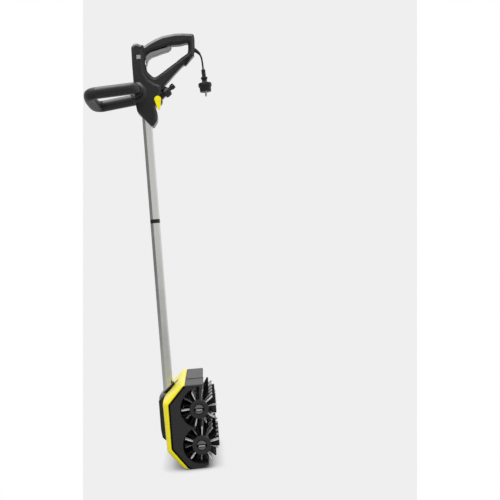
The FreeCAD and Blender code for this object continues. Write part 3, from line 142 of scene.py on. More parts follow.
class Graph:
    """The nodes of one material, or of the world."""

    def __init__(self, owner: bpy.types.Material | bpy.types.World) -> None:
        """Start from an empty tree."""
        owner.use_nodes = True
        self.tree = owner.node_tree
        self.tree.nodes.clear()

    def add(self, kind: str, settings: dict[str, object] | None = None,
            values: dict[str | int, object] | None = None, output: str | int = 0) -> Link:
        """Add any node.

        Args:
            kind: The node's type.
            settings: Its settings, set first; "stops" holds a ramp's stops.
            values: Values or links of its sockets.
            output: The socket that is given back.

        Returns:
            One output of the new node.
        """
        node = self.tree.nodes.new(kind)
        for name, value in (settings or {}).items():
            if name == "stops":
                while len(node.color_ramp.elements) < len(value):
                    node.color_ramp.elements.new(0.5)
                for element, (position, colour) in zip(node.color_ramp.elements, value):
                    element.position, element.color = position, (*colour, 1.0)
            else:
                setattr(node, name, value)
        for name, value in (values or {}).items():
            if isinstance(value, Link):
                self.tree.links.new(value.socket, node.inputs[name])
            else:
                node.inputs[name].default_value = value
        return Link(self.tree, node.outputs[output] if len(node.outputs) else None)

    def tint(self, share: Link | float, low: Link | Triple, high: Link | Triple) -> Link:
        """Mix two colours.

        Args:
            share: How much of the second.
            low: The first colour.
            high: The second colour.

        Returns:
            The mixed colour.
        """
        low, high = (value if isinstance(value, Link) else (*value, 1.0) for value in (low, high))
        return self.add("ShaderNodeMix", {"data_type": "RGBA"}, {0: share, 6: low, 7: high}, 2)

    def vector(self, operation: str, first: Link, second: object, output: str = "Vector") -> Link:
        """Vector Math on a link and a link or three numbers."""
        values = {0: first, 1: second}
        return self.add("ShaderNodeVectorMath", {"operation": operation}, values, output)

    def dot(self, first: Link, second: Link | Triple) -> Link:
        """Dot product, as a value."""
        return self.vector("DOT_PRODUCT", first, second, "Value")

    def noise(self, place: Link, scale: float, detail: float = 2.0, roughness: float = 0.5) -> Link:
        """Noise from 0 to 1 at a number of cells per metre."""
        values = {"Vector": place, "Scale": scale, "Detail": detail, "Roughness": roughness}
        return self.add("ShaderNodeTexNoise", None, values, "Fac")


BROAD_CELLS, BROAD_ROUGH = 34.0, 0.1
BROAD_IN_STRANDS = 0.2
FINE_ROUGH = 0.14
SCUFF_CELLS, SCUFF_LEVEL = 210.0, 0.62
SCUFF_ROUGH, SCUFF_LIGHT = 0.06, 0.04
MASK_GAIN = 6.0
# pale colour that the painted edge highlight and the scuffs lighten towards
PALE_GAIN, PALE_LIFT = 1.6, 0.12
MEAN_NOISE = 0.5
COAT_ROUGHNESS = 0.2


class Grain(Enum):
    """Fine surface of a finish, with what stretches its grain along x, y and z."""

    SPARK = (1.0, 1.0, 1.0)
    DRAWN = (1.0, 1.0, 0.004)
    TURNED = (0.02, 1.0, 0.02)
    STRAND = (0.2, 0.2, 0.2)


@dataclass(frozen=True)
class Finish:
    """One finish of the machine.

    Args:
        name: The material's name.
        slot: The record's material slot; not used.
        colour: Base colour, linear.
        roughness: Mean roughness.
        metallic: Zero for plastic, one for metal.
        grain: Kind of fine surface.
        grain_size: Size of one grain in millimetres.
        grain_depth: Height of the grain in millimetres.
        mottle: Share by which the colour varies over some centimetres.
        edge: Radius in millimetres that softens the edges.
        edge_light: How much lighter the edges are, a painted highlight along them with some wear.
        coat: Clear coat weight.
        shine: Level of the mirror-like share.
    """

    name: str
    slot: str
    colour: Triple
    roughness: float
    metallic: float = 0.0
    grain: Grain = Grain.SPARK
    grain_size: float = 0.5
    grain_depth: float = 0.015
    mottle: float = 0.1
    edge: float = 0.6
    edge_light: float = 0.25
    coat: float = 0.0
    shine: float = 0.5

    def material(self) -> bpy.types.Material:
        """The finish as a material, made once.

        Returns:
            The material of this name.
        """
        known = bpy.data.materials.get(self.name)
        if known is not None:
            return known
        material = bpy.data.materials.new(self.name)
        material.diffuse_color = (*self.colour, 1.0)
        graph = Graph(material)
        place = graph.add("ShaderNodeTexCoord", output="Object")
        soft = graph.add("ShaderNodeBevel", {"samples": 4}, {"Radius": self.edge * MM})
        plain = graph.add("ShaderNodeNewGeometry", output="Normal")
        # painted highlight along the edges, with some wear: where the bevel's normal turns from the
        # true one
        edge_highlight_and_wear = ((1 - graph.dot(soft, plain)) * MASK_GAIN).clamped()
        stretched = graph.vector("MULTIPLY", place, self.grain.value)
        fine = graph.noise(stretched, 1 / (self.grain_size * MM))
        broad = graph.noise(place, BROAD_CELLS, 3.0, 0.6)
        scuffs = ((graph.noise(place, SCUFF_CELLS, 4.0, 0.7) - SCUFF_LEVEL) * MASK_GAIN).clamped()
        if self.grain is Grain.STRAND:
            each = graph.add("ShaderNodeNewGeometry", output="Random Per Island")
            broad = each * (1 - BROAD_IN_STRANDS) + broad * BROAD_IN_STRANDS
        dark, light, pale = (
            tuple(min(1.0, value * gain + lift) for value in self.colour)
            for gain, lift in ((1 - self.mottle, 0), (1 + self.mottle, 0), (PALE_GAIN, PALE_LIFT)))
        # painted edge highlight with wear, and lighter scuffs, lift the colour towards pale
        lit = (edge_highlight_and_wear * self.edge_light + scuffs * SCUFF_LIGHT).clamped()
        colour = graph.tint(lit, graph.tint(broad, dark, light), pale)
        rough = (self.roughness + (fine - MEAN_NOISE) * FINE_ROUGH
                 + (broad - MEAN_NOISE) * BROAD_ROUGH + scuffs * SCUFF_ROUGH)
        bump = graph.add("ShaderNodeBump", None, {
            "Strength": 1.0, "Distance": self.grain_depth * MM, "Height": fine, "Normal": soft})
        shader = graph.add("ShaderNodeBsdfPrincipled", None, {
            "Base Color": colour, "Roughness": rough.clamped(), "Metallic": self.metallic,
            "Normal": bump, "Coat Weight": self.coat, "Coat Roughness": COAT_ROUGHNESS,
            "Specular IOR Level": self.shine})
        graph.add("ShaderNodeOutputMaterial", None, {"Surface": shader})
        return material


YELLOW = Finish("yellow_moulding", "yellow_shell", (0.86, 0.755, 0.004), 0.34, grain_depth=0.004,
                mottle=0.03, edge_light=0.06, coat=0.05, shine=0.25)
LEVER_YELLOW = Finish("yellow_lever_moulding", "yellow_lever", (0.97, 0.84, 0.001), 0.4,
                      grain_depth=0.004, mottle=0.03, edge_light=0.05, shine=0.2)
PANEL = Finish("dark_grey_moulding", "dark_shell", (0.022, 0.022, 0.0225), 0.5, grain_depth=0.02,
               mottle=0.12, edge=0.9, edge_light=0.12, shine=0.45)
CORE = replace(PANEL, name="dark_roller_core", slot="core", colour=(0.0235, 0.0235, 0.024))
# its strong edge_light is a painted highlight on the black bevels
BLACK = Finish("black_moulding", "casing", (0.007, 0.007, 0.0072), 0.34, grain_depth=0.012,
               mottle=0.14, edge=0.9, edge_light=0.34)
GRIP = Finish("soft_black_grip", "soft_grip", (0.014,) * 3, 0.5, grain_size=0.9, grain_depth=0.04,
              mottle=0.16, edge_light=0.1, shine=0.3)
# near-black for strips and discs put where only shade falls: painted shade in gaps
PAINTED_SHADE = Finish("painted_shade_black", "dark_shell", (0.004,) * 3, 0.7, grain_depth=0.01, edge_light=0.0,
              shine=0.1)
KEYS = Finish("grey_keys_moulding", "grey_keys", (0.52,) * 3, 0.42, grain_depth=0.01, mottle=0.06,
              edge=0.7, edge_light=0.1)
TRIGGER = replace(KEYS, name="grey_trigger_moulding", colour=(0.38,) * 3)
KNOB = Finish("mid_grey_knob", "grey_keys", (0.15,) * 3, 0.42, grain_depth=0.012, mottle=0.08,
              edge_light=0.15)
ALUMINIUM = Finish("drawn_aluminium", "tube", (0.66, 0.66, 0.64), 0.3, 1.0, Grain.DRAWN, 0.25,
                   0.008, 0.08, 0.7, 0.1)
JOINT = Finish("cast_joint_metal", "joint_metal", (0.42, 0.44, 0.45), 0.34, 0.8, grain_size=0.8,
               grain_depth=0.03, mottle=0.14)
STEEL = Finish("turned_steel", "steel", (0.55,) * 3, 0.3, 1.0, Grain.TURNED, 0.2, 0.006, 0.1,
               0.3, 0.2)
PINS = Finish("nickel_pins", "pins", (0.42, 0.41, 0.39), 0.3, 1.0, Grain.TURNED, 0.2, 0.003, 0.05,
              0.2, 0.1)
CAN = Finish("zinc_motor_can", "motor_can", (0.5, 0.5, 0.48), 0.42, 0.9, grain_size=1.5,
             grain_depth=0.01, mottle=0.2)
CRADLE = Finish("black_cradle", "cradle", (0.03, 0.03, 0.032), 0.55)
GEARS = Finish("white_gear_resin", "gears", (0.7, 0.69, 0.65), 0.4, mottle=0.05, edge=0.2)
BLACK_BRISTLE = Finish("black_bristle_nylon", "black_bristle", (0.011,) * 3, 0.45, 0.0,
                       Grain.STRAND, 0.3, 0.0, 0.7, 0.05, 0.0, shine=0.25)
GREY_BRISTLE = Finish("grey_bristle_nylon", "grey_bristle", (0.8,) * 3, 0.4, 0.0, Grain.STRAND, 0.3,
                      0.0, 0.2, 0.05, 0.0)
CORD = Finish("black_cord_rubber", "cord", (0.01,) * 3, 0.42, grain_size=0.7, grain_depth=0.012,
              edge=0.5, shine=0.3)


class Form:
    """Mesh tools. Every form is drawn in millimetres and comes out in metres."""

    @staticmethod
    def rounded(points: Line, radius: float, steps: int = 4, closed: bool = True) -> list[Pair]:
        """Round the corners of an outline.

        Args:
            points: Corners in order.
            radius: Largest radius of a corner.
            steps: Chords in each corner.
            closed: Whether the last point joins the first.

        Returns:
            The points of the rounded outline.
        """
        result: list[Pair] = []
        count = len(points)
        for index, point in enumerate(points):
            here = Vector(point)
            if not closed and index in (0, count - 1):
                result.append(tuple(here))
                continue
            back_way = Vector(points[index - 1]) - here
            front_way = Vector(points[(index + 1) % count]) - here
            turn = math.pi - back_way.angle(front_way)
            cut = min(radius * math.tan(turn / 2), 0.45 * back_way.length, 0.45 * front_way.length)
            start, end = here + back_way.normalized() * cut, here + front_way.normalized() * cut
            for step in range(steps + 1):
                share = step / steps
                spot = start * (1 - share) ** 2 + here * 2 * share * (1 - share) + end * share ** 2
                result.append(tuple(spot))
        return result

    @staticmethod
    def arc(centre: Pair, radius: float, start: float, end: float, steps: int) -> list[Pair]:
        """Points of an arc between two angles in degrees."""
        angles = [math.radians(start + (end - start) * step / steps) for step in range(steps + 1)]
        return [(centre[0] + radius * math.cos(turn), centre[1] + radius * math.sin(turn))
                for turn in angles]

    @staticmethod
    def square(middle: Pair, half_width: float, half_height: float) -> list[Pair]:
        """Corners of a rectangle about a point."""
        return [(middle[0] + across * half_width, middle[1] + up * half_height)
                for across, up in ((-1, -1), (1, -1), (1, 1), (-1, 1))]

    @staticmethod
    def sense(points: Line) -> int:
        """One for an outline that runs anticlockwise, minus one for the other way."""
        area = sum(a[0] * b[1] - b[0] * a[1] for a, b in zip([points[-1], *points], points))
        return 1 if area > 0 else -1

    @staticmethod
    def grown(points: Line, amount: float) -> list[Pair]:
        """Move an outline outwards and keep its corners.

        Args:
            points: The outline.
            amount: By how much.

        Returns:
            The wider outline.
        """
        sign, result = Form.sense(points), []
        for back, here, front in zip([points[-1], *points], points, [*points[1:], points[0]]):
            ways = (Vector(here) - Vector(back), Vector(front) - Vector(here))
            first, second = (Vector((way.y, -way.x)).normalized() * sign for way in ways)
            shift = (first + second) * amount / (1 + first.dot(second))
            result.append(tuple(Vector(here) + shift))
        return result

    @staticmethod
    def shrunk(points: Line, amount: float) -> list[Pair]:
        """Move an outline of short chords inwards.

        Args:
            points: The outline.
            amount: By how much.

        Returns:
            The narrower outline.
        """
        step, result = Form.sense(points) * amount, []
        for back, here, front in zip([points[-1], *points], points, [*points[1:], points[0]]):
            way = (Vector(front) - Vector(back)).normalized()
            result.append((here[0] - way.y * step, here[1] + way.x * step))
        return result

    @staticmethod
    def show(name: str, data: bpy.types.ID) -> bpy.types.Object:
        """Make an object and put it in the scene."""
        item = bpy.data.objects.new(name, data)
        bpy.context.scene.collection.objects.link(item)
        return item

    @staticmethod
    def spline(curve: bpy.types.Curve, kind: str, points: Sequence[Triple]) -> bpy.types.Spline:
        """Add a spline to a curve.

        Args:
            curve: The curve.
            kind: The spline's type.
            points: Its points.

        Returns:
            The spline.
        """
        spline = curve.splines.new(kind)
        spline.points.add(len(points) - 1)
        for point, spot in zip(spline.points, points):
            point.co = (*(value * MM for value in spot), 1.0)
        return spline

    @staticmethod
    def baked(curve: bpy.types.Curve) -> Mesh:
        """Turn a curve into a mesh.

        Args:
            curve: The curve.

        Returns:
            Its mesh.
        """
        holder = bpy.data.objects.new("holder", curve)
        mesh = bpy.data.meshes.new_from_object(holder)
        bpy.data.objects.remove(holder)
        return mesh

    @staticmethod
    @contextmanager
    def edited(mesh: Mesh, *sources: Mesh) -> Iterator[bmesh.types.BMesh]:
        """Open a mesh for edits and write it back after them.

        Args:
            mesh: Where the result goes.
            sources: The meshes to start from, or none for the mesh itself.

        Returns:
            The open mesh.
        """
        work = bmesh.new()
        for source in sources or (mesh,):
            work.from_mesh(source)
        yield work
        work.to_mesh(mesh)
        work.free()

    @staticmethod
    def sliced(work: bmesh.types.BMesh, spot: Triple, way: Triple, **clear: bool) -> None:
        """Cut an open mesh by a plane; clear_inner or clear_outer drops a side."""
        bmesh.ops.bisect_plane(work, geom=work.verts[:] + work.edges[:] + work.faces[:],
                               plane_co=Vector(spot) * MM, plane_no=way, **clear)

    @staticmethod
    def plate(outline: Line, low: float, high: float, bevel: float = 0.0, steps: int = 0) -> Mesh:
        """Plate across the machine with bevelled edges.

        Args:
            outline: Its edge, in x and z.
            low: Where it starts across.
            high: Where it ends across.
            bevel: Width of the bevel.
            steps: Extra chords that round the bevel.

        Returns:
            A closed mesh.
        """
        curve = bpy.data.curves.new("outline", "CURVE")
        curve.dimensions, curve.fill_mode = "2D", "BOTH"
        Form.spline(curve, "POLY", [(x, z, 0.0) for x, z in outline]).use_cyclic_u = True
        curve.extrude = ((high - low) / 2 - bevel) * MM
        curve.bevel_depth, curve.bevel_resolution, curve.offset = bevel * MM, steps, -bevel * MM
        mesh = Form.baked(curve)
        mesh.transform(Matrix.Translation((0, (low + high) / 2 * MM, 0))
                       @ Matrix.Rotation(math.pi / 2, 4, "X"))
        return Form.cleaned(mesh)

    @staticmethod
    def cleaned(mesh: Mesh) -> Mesh:
        """Weld a mesh, join its flat faces and turn its faces outwards.

        Args:
            mesh: The mesh, which is changed.

        Returns:
            The same mesh.
        """
        with Form.edited(mesh) as work:
            bmesh.ops.remove_doubles(work, verts=work.verts, dist=2e-6)
            bmesh.ops.dissolve_limit(work, angle_limit=0.004, verts=work.verts, edges=work.edges)
            bmesh.ops.recalc_face_normals(work, faces=work.faces)
        return mesh

    @staticmethod
    def grid(rings: Sequence[Sequence[Vector]], closed: bool = True, caps: bool = True) -> Mesh:
        """Skin through rings of equal count.

        Args:
            rings: Points of each ring, in millimetres.
            closed: Whether each ring closes on itself.
            caps: Whether the two ends are closed.

        Returns:
            The mesh.
        """
        count = len(rings[0])
        verts = [tuple(Vector(point) * MM) for ring in rings for point in ring]
        faces: list[tuple[int, ...]] = []
        for row in range(len(rings) - 1):
            for column in range(count if closed else count - 1):
                a, b = row * count + column, row * count + (column + 1) % count
                faces.append((a, b, b + count, a + count))
        if caps and closed:
            last = (len(rings) - 1) * count
            faces += [tuple(range(count - 1, -1, -1)), tuple(range(last, last + count))]
        mesh = bpy.data.meshes.new("grid")
        mesh.from_pydata(verts, [], faces)
        with Form.edited(mesh) as work:
            bmesh.ops.recalc_face_normals(work, faces=work.faces)
        return mesh

    @staticmethod
    def lathe(profile: Line, start: Vector, way: Vector, segments: int = 48,
              shape: Callable[[float, float], float] | None = None, hollow: bool = False) -> Mesh:
        """Body of revolution.

        Args:
            profile: Radius and distance pairs, from the start outwards.
            start: Where distance is zero.
            way: The axis.
            segments: Faces round it.
            shape: Factor on the radius at an angle and a distance.
            hollow: Whether the profile closes on itself round a bore.

        Returns:
            A closed mesh.
        """
        turn = Vector((0, 0, 1)).rotation_difference(way)
        rings = []
        for radius, distance in [*profile, profile[0]] if hollow else profile:
            ring = []
            for index in range(segments):
                angle = CIRCLE * index / segments
                reach = radius * (shape(angle, distance) if shape else 1.0)
                spot = Vector((reach * math.cos(angle), reach * math.sin(angle), distance))
                ring.append(start + turn @ spot)
            rings.append(ring)
        return Form.cleaned(Form.grid(rings, caps=False)) if hollow else Form.grid(rings)

    @staticmethod
    def combined(meshes: Iterable[Mesh]) -> Mesh:
        """Several meshes as one."""
        result = bpy.data.meshes.new("combined")
        with Form.edited(result, *meshes):
            pass
        return result

    @staticmethod
    def carved(mesh: Mesh, cutters: Sequence[Mesh], operation: str = "DIFFERENCE") -> Mesh:
        """Cut meshes out of a mesh, or join them to it.

        Args:
            mesh: The body.
            cutters: What is cut out or added.
            operation: DIFFERENCE, UNION or INTERSECT.

        Returns:
            The new mesh.
        """
        body = Form.show("carving", mesh)
        tools = [Form.show("tool", cutter) for cutter in cutters]
        for tool in tools:
            change = body.modifiers.new("cut", "BOOLEAN")
            change.operation, change.object, change.solver = operation, tool, "EXACT"
        bpy.context.view_layer.update()
        graph = bpy.context.evaluated_depsgraph_get()
        result = bpy.data.meshes.new_from_object(body.evaluated_get(graph))
        for item in [body, *tools]:
            bpy.data.objects.remove(item)
        return result

    @staticmethod
    def half(mesh: Mesh, near: bool, gap: float) -> Mesh:
        """The part of a mesh on one side of the middle plane.

        Args:
            mesh: The whole.
            near: Whether the -Y side is kept.
            gap: How far the cut face draws back from the plane.

        Returns:
            The half, closed.
        """
        sign = -1 if near else 1
        room = Form.plate(Form.square((0.0, 950.0), 400.0, 400.0), *sorted((0.0, sign * 200.0)))
        result = bpy.data.meshes.new("half")
        with Form.edited(result, Form.carved(mesh, [room], "INTERSECT")) as work:
            cut = [edge for edge in work.edges if all(abs(vert.co.y) < 1e-6 for vert in edge.verts)]
            for vert in {vert for edge in cut for vert in edge.verts}:
                vert.co.y += sign * gap * MM
        return result


class Bench:
    """Where pieces are finished, put on their bodies and reported."""

    def __init__(self, packed: dict[str, object]) -> None:
        """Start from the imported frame."""
        self.nodes: dict[str, bpy.types.Object] = packed["nodes"]
        self.left = set(self.nodes)

    def piece(self, name: str, mesh: Mesh | bpy.types.Curve, finish: Finish, body: str,
              replaced: Sequence[str] = (), smooth: float = 35.0) -> bpy.types.Object:
        """Make one piece of the scene.

        Args:
            name: The piece's name.
            mesh: Its mesh or curve.
            finish: Its finish.
            body: The CAD body that it rides on.
            replaced: CAD nodes that it stands for.
            smooth: Edges that turn by more degrees than this stay sharp.

        Returns:
            The new object.
        """
        mesh.name = name
        piece = Form.show(name, mesh)
        mesh.materials.clear()
        mesh.materials.append(finish.material())
        if isinstance(mesh, Mesh):
            mesh.polygons.foreach_set("use_smooth", [True] * len(mesh.polygons))
            mesh.set_sharp_from_angle(angle=math.radians(smooth))
        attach(piece, body)
        if replaced:
            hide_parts(*replaced)
            self.left -= set(replaced)
        LOG.info("piece %s on %s", name, body)
        return piece

    @staticmethod
    def wearing(*finishes: Finish) -> list[bpy.types.Object]:
        """All pieces and nodes in some finishes."""
        known = {finish.name for finish in finishes}
        return [item for item in bpy.data.objects if item.type == "MESH"
                and any(slot and slot.name in known for slot in item.data.materials)]

    def dress(self, finish: Finish, *names: str) -> None:
        """Give CAD nodes that stay a finish.

        Args:
            finish: The finish.
            names: The nodes.
        """
        for name in names:
            data = self.nodes[name].data
            data.materials.clear()
            data.materials.append(finish.material())
            self.left.discard(name)
            LOG.info("node %s in %s", name, finish.name)


class Part:
    """A sub-assembly of the machine."""

    def build(self, bench: Bench) -> None:
        """Make its pieces and dress its nodes.

        Args:
            bench: Where pieces are finished and reported.
        """
        raise NotImplementedError


@dataclass
class Viewpoint:
    """Camera of the photograph: its place in metres, its angles in degrees.

    The yaw is to the right of +Y, and the roll is how far the object leans left in the picture.
    """

    place: Triple = (0.07836, -2.150, 0.48484)
    lens: float = 60.469
    sensor: float = 36.0
    yaw: float = 3.1222
    pitch: float = 0.5725
    roll: float = 4.55

    def build(self) -> bpy.types.Object:
        """Make the camera and set it as the scene's.

        Returns:
            The camera.
        """
        data = bpy.data.cameras.new("photograph")
        data.lens, data.sensor_width = self.lens, self.sensor
        camera = Form.show("photograph", data)
        yaw, pitch, roll = (math.radians(value) for value in (self.yaw, self.pitch, self.roll))
        right = Vector((math.cos(yaw), -math.sin(yaw), 0))
        ahead = Vector((math.sin(yaw), math.cos(yaw), 0))
        look = ahead * math.cos(pitch) + Vector((0, 0, math.sin(pitch)))
        above = Vector((0, 0, math.cos(pitch))) - ahead * math.sin(pitch)
        across = right * math.cos(roll) - above * math.sin(roll)
        up = right * math.sin(roll) + above * math.cos(roll)
        turned = Matrix((across, up, -look)).transposed().to_4x4()
        camera.matrix_world = Matrix.Translation(self.place) @ turned
        bpy.context.scene.camera = camera
        return camera


@dataclass
class Lead(Part):
    """Free end of the mains lead with its plug.

    The boot is its strain relief, with its radius, how much thinner it gets and its ribs' depth and
    length; sleeve_rib is the count and pitch of the plug's ribs. Plug and pin are outlines of
    radius and distance, from the lead's end and from where a pin leaves the plug.
    """

    route: Table = (
        (97.0, 1026.8), (103.3, 1021.9), (108.1, 1014.8), (110.9, 1005.6), (112.0, 991.4),
        (112.5, 977.4))
    radius: float = 2.25
    length: float = 54.3
    boot_length: float = 15.0
    boot_inside: float = 9.0
    boot_root: float = 5.0
    boot_taper: float = 1.9
    boot_rib: Pair = (0.3, 1.6)
    sleeve_rib: tuple[int, float] = (6, 2.9)
    plug: Table = (
        (5.3, 19.1), (7.6, 19.9), (8.5, 20.6), (8.5, 24.2), (7.9, 25.0), (6.9, 26.4), (6.4, 29.0),
        (6.5, 31.0), (8.2, 33.0), (12.5, 34.4), (15.6, 35.3), (16.8, 36.4), (17.0, 38.0),
        (17.0, 43.4), (16.6, 44.6), (15.5, 45.6), (14.9, 47.0), (14.6, 56.4), (14.0, 57.6),
        (13.0, 58.0))
    pin: Table = ((2.4, 0), (2.4, 8.6), (2.0, 9.6), (1.2, 10.1))
    pin_apart: float = 19.0

    def line(self, bevel: float) -> bpy.types.Curve:
        """The lead's own line as a curve.

        Args:
            bevel: Its radius, or zero for the bare line.

        Returns:
            The curve.
        """
        curve = bpy.data.curves.new("lead", "CURVE")
        curve.dimensions, curve.resolution_u = "3D", 24
        curve.bevel_depth, curve.bevel_resolution = bevel * MM, 5
        spline = Form.spline(curve, "NURBS", [(x, 0.0, z) for x, z in self.route])
        spline.order_u = 3
        spline.use_endpoint_u = True
        return curve

    def boot(self) -> Mesh:
        """Tapered, ribbed strain relief round the first stretch of the lead.

        Returns:
            The mesh.
        """
        points = [vert.co / MM for vert in Form.baked(self.line(0.0)).vertices]
        first = (points[1] - points[0]).normalized()
        spots = [(points[0] - first * inside, -inside) for inside in (self.boot_inside, 0.5)]
        travelled = 0.0
        for before, after in zip(points, points[1:]):
            travelled += (after - before).length
            if travelled > self.boot_length:
                break
            spots.append((after, travelled))
        rings = []
        for index, (spot, distance) in enumerate(spots):
            near, far = spots[max(0, index - 1)][0], spots[min(len(spots) - 1, index + 1)][0]
            over = (far - near).normalized().cross(ACROSS)
            outside, (depth, pitch) = max(0.0, distance), self.boot_rib
            rib = depth if int(outside / pitch) % 2 and distance > 2 else 0.0
            reach = self.boot_root - self.boot_taper * outside / self.boot_length - rib
            rings.append([spot + (ACROSS * math.cos(turn) + over * math.sin(turn)) * reach
                          for turn in (CIRCLE * step / 24 for step in range(24))])
        return Form.grid(rings)

    def build(self, bench: Bench) -> None:
        """Make the lead, its strain relief, the plug and its pins."""
        lead = bench.piece("mains_lead", self.line(self.radius), CORD, "stick", ["lead"])
        bench.piece("lead_boot", self.boot(), CORD, "stick", ["lead_gland"])
        before, end = (Vector((x, 0, z)) for x, z in self.route[-2:])
        way = (end - before).normalized()
        count, pitch = self.sleeve_rib
        sleeve = [(radius, 1.5 + rib * pitch + along) for rib in range(count)
                  for radius, along in ((5.2, 0.0), (5.2, 1.8), (4.5, 2.0), (4.5, 2.7))]
        face = (AXIS_RADIUS, self.plug[-1][1])
        profile = [(AXIS_RADIUS, -0.2), (3.6, -0.2), (4.6, 0.6), *sleeve, *self.plug, face]
        body = Form.lathe(profile, end, way, 64, self.flutes)
        plug = bench.piece("plug_moulding", body, CORD, "stick", ["plug_body"])
        outline = [(AXIS_RADIUS, 0), *self.pin, (AXIS_RADIUS, self.pin[-1][1])]
        root = end + way * (self.plug[-1][1] - 0.1)
        pins = Form.combined(Form.lathe(outline, root + ACROSS * side * self.pin_apart / 2, way, 24)
                             for side in (-1, 1))
        metal = bench.piece("plug_contacts", pins, PINS, "stick", ["plug_pins"])

    def flutes(self, angle: float, distance: float) -> float:
        """Finger grooves on the plug's wide part."""
        grooved = 45 < distance < 57
        return 1.0 - 0.035 * max(0.0, math.cos(angle * 10)) ** 2 if grooved else 1.0


@dataclass
class Studio:
    """Floor, background and soft light.

    The background is grey between two pixels and white outside. Front, sky, right and left change
    the ambient level on those sides. The floor has a radius and a height; wide and close are the
    reach of its two shadows in metres, and lean is the way that the wide one opens.
    """

    grey: float = 0.862
    middle: Pair = (83.0, 417.0)
    picture: int = 500
    ambient: float = 1.0
    front: float = 0.65
    sky: float = 0.8
    right: float = -0.1
    left: float = 0.85
    floor: Pair = (3000.0, -0.4)
    floor_grey: float = 0.45
    wide: float = 0.04
    close: float = 0.02
    close_share: float = 0.42
    lean: Triple = (-0.35, 0.0, 0.94)

    def edge_plane(self, camera: bpy.types.Object, pixel: float) -> Triple:
        """Normal of the plane through the camera and an upright line of the picture.

        Args:
            camera: The camera.
            pixel: Where the line is, from the left.

        Returns:
            The plane's normal, which points to the right.
        """
        focal = camera.data.lens / camera.data.sensor_width * self.picture
        turned = camera.matrix_world.to_3x3() @ Vector((focal, 0, pixel - self.picture / 2))
        return tuple(turned.normalized())

    def backdrop(self, graph: Graph, way: Link, camera: bpy.types.Object) -> Link:
        """Colour of the background in a direction: grey in the middle, white outside.

        Args:
            graph: Where its nodes go.
            way: The direction.
            camera: The camera.

        Returns:
            The colour.
        """
        start, end = (graph.dot(way, self.edge_plane(camera, pixel)) for pixel in self.middle)
        return graph.tint((start > 0.0) * (end < 0.0), (1.0,) * 3, (self.grey,) * 3)

    def build(self, camera: bpy.types.Object) -> None:
        """Make the world, the floor and the lamps that light everything.

        Args:
            camera: The camera, which the background is drawn for.
        """
        world = bpy.data.worlds.new("studio")
        bpy.context.scene.world = world
        graph = Graph(world)
        ray = graph.add("ShaderNodeLightPath", output="Is Camera Ray")
        clear = graph.add("ShaderNodeLightPath", output="Is Transmission Ray")
        way = graph.add("ShaderNodeTexCoord", output="Generated")
        shown = self.backdrop(graph, way, camera)
        across = graph.dot(way, (1.0, 0.0, 0.0))
        above = graph.dot(way, (0.0, 0.0, 1.0)).clamped()
        ahead = graph.dot(way, (0.0, -1.0, 0.0)).clamped()
        level = self.ambient + above ** 2.5 * self.sky + across.clamped() ** 3.0 * self.right
        level = level - ahead ** 1.5 * self.front - (0.0 - across).clamped() ** 5.0 * self.left
        light = graph.add("ShaderNodeCombineXYZ", None, {"X": level, "Y": level, "Z": level})
        colour = graph.tint((ray + clear).clamped(), light, shown)
        sky = graph.add("ShaderNodeBackground", None, {"Color": colour, "Strength": 1.0})
        graph.add("ShaderNodeOutputWorld", None, {"Surface": sky})
        self.ground(camera)
        self.lamp("overhead", (0.3, -0.2, 2.7), 2.2, 3.0)
        self.lamp("right", (2.3, -0.7, 1.1), 1.2, 0.7)

    def ground(self, camera: bpy.types.Object) -> None:
        """Make the floor: the background's colour with a soft painted shadow, plain grey in
        reflections.

        Args:
            camera: The camera.
        """
        radius, height = self.floor
        corners = Form.arc((0.0, 0.0), radius, 0.0, 352.5, 47)
        mesh = bpy.data.meshes.new("floor")
        mesh.from_pydata([(x * MM, y * MM, height * MM) for x, y in corners], [],
                         [tuple(range(len(corners)))])
        floor = Form.show("floor", mesh)
        material = bpy.data.materials.new("studio_floor")
        graph = Graph(material)
        place = graph.add("ShaderNodeNewGeometry", output="Position")
        ray = graph.add("ShaderNodeLightPath", output="Is Camera Ray")
        way = graph.vector("SUBTRACT", place, tuple(camera.location))
        shown = self.backdrop(graph, way, camera)
        leaning = graph.add("ShaderNodeCombineXYZ", None, dict(zip("XYZ", self.lean)))
        # painted shadow: ambient occlusion darkens the floor's emitted colour round the machine, lean
        # tilts the wide one
        wide, close = (
            graph.add("ShaderNodeAmbientOcclusion", {"samples": 24}, values, "AO")
            for values in ({"Distance": self.wide, "Normal": leaning}, {"Distance": self.close}))
        speck = 1.0 - graph.noise(place, 900.0) * 0.004
        shade = wide * ((1 - self.close_share) + close * self.close_share) * speck
        colour = graph.tint(shade.clamped(), (0.0,) * 3, shown)
        glow = graph.add("ShaderNodeEmission", None, {"Color": colour, "Strength": 1.0})
        plain = graph.add("ShaderNodeBsdfDiffuse", None, {"Color": (*(self.floor_grey,) * 3, 1.0)})
        surface = graph.add("ShaderNodeMixShader", None, {0: ray, 1: plain, 2: glow})
        graph.add("ShaderNodeOutputMaterial", None, {"Surface": surface})
        mesh.materials.append(material)

    @staticmethod
    def lamp(name: str, spot: Triple, width: float, watts: float,
             lit: Sequence[bpy.types.Object] = ()) -> None:
        """Soft lamp that looks at the machine.

        Args:
            name: Its name.
            spot: Where it is, in metres.
            width: Its width in metres.
            watts: Its power.
            lit: The pieces that it lights, or none for all.
        """
        data = bpy.data.lights.new(name, "AREA")
        data.shape, data.size, data.energy = "SQUARE", width, watts
        lamp = Form.show(name, data)
        aim = Vector(spot) - Vector((0.0, 0.0, 0.5))
        turned = aim.to_track_quat("Z", "Y").to_matrix().to_4x4()
        lamp.matrix_world = Matrix.Translation(spot) @ turned
        if lit:
            group = bpy.data.collections.new(name)
            for piece in lit:
                group.objects.link(piece)
            lamp.light_linking.receiver_collection = group


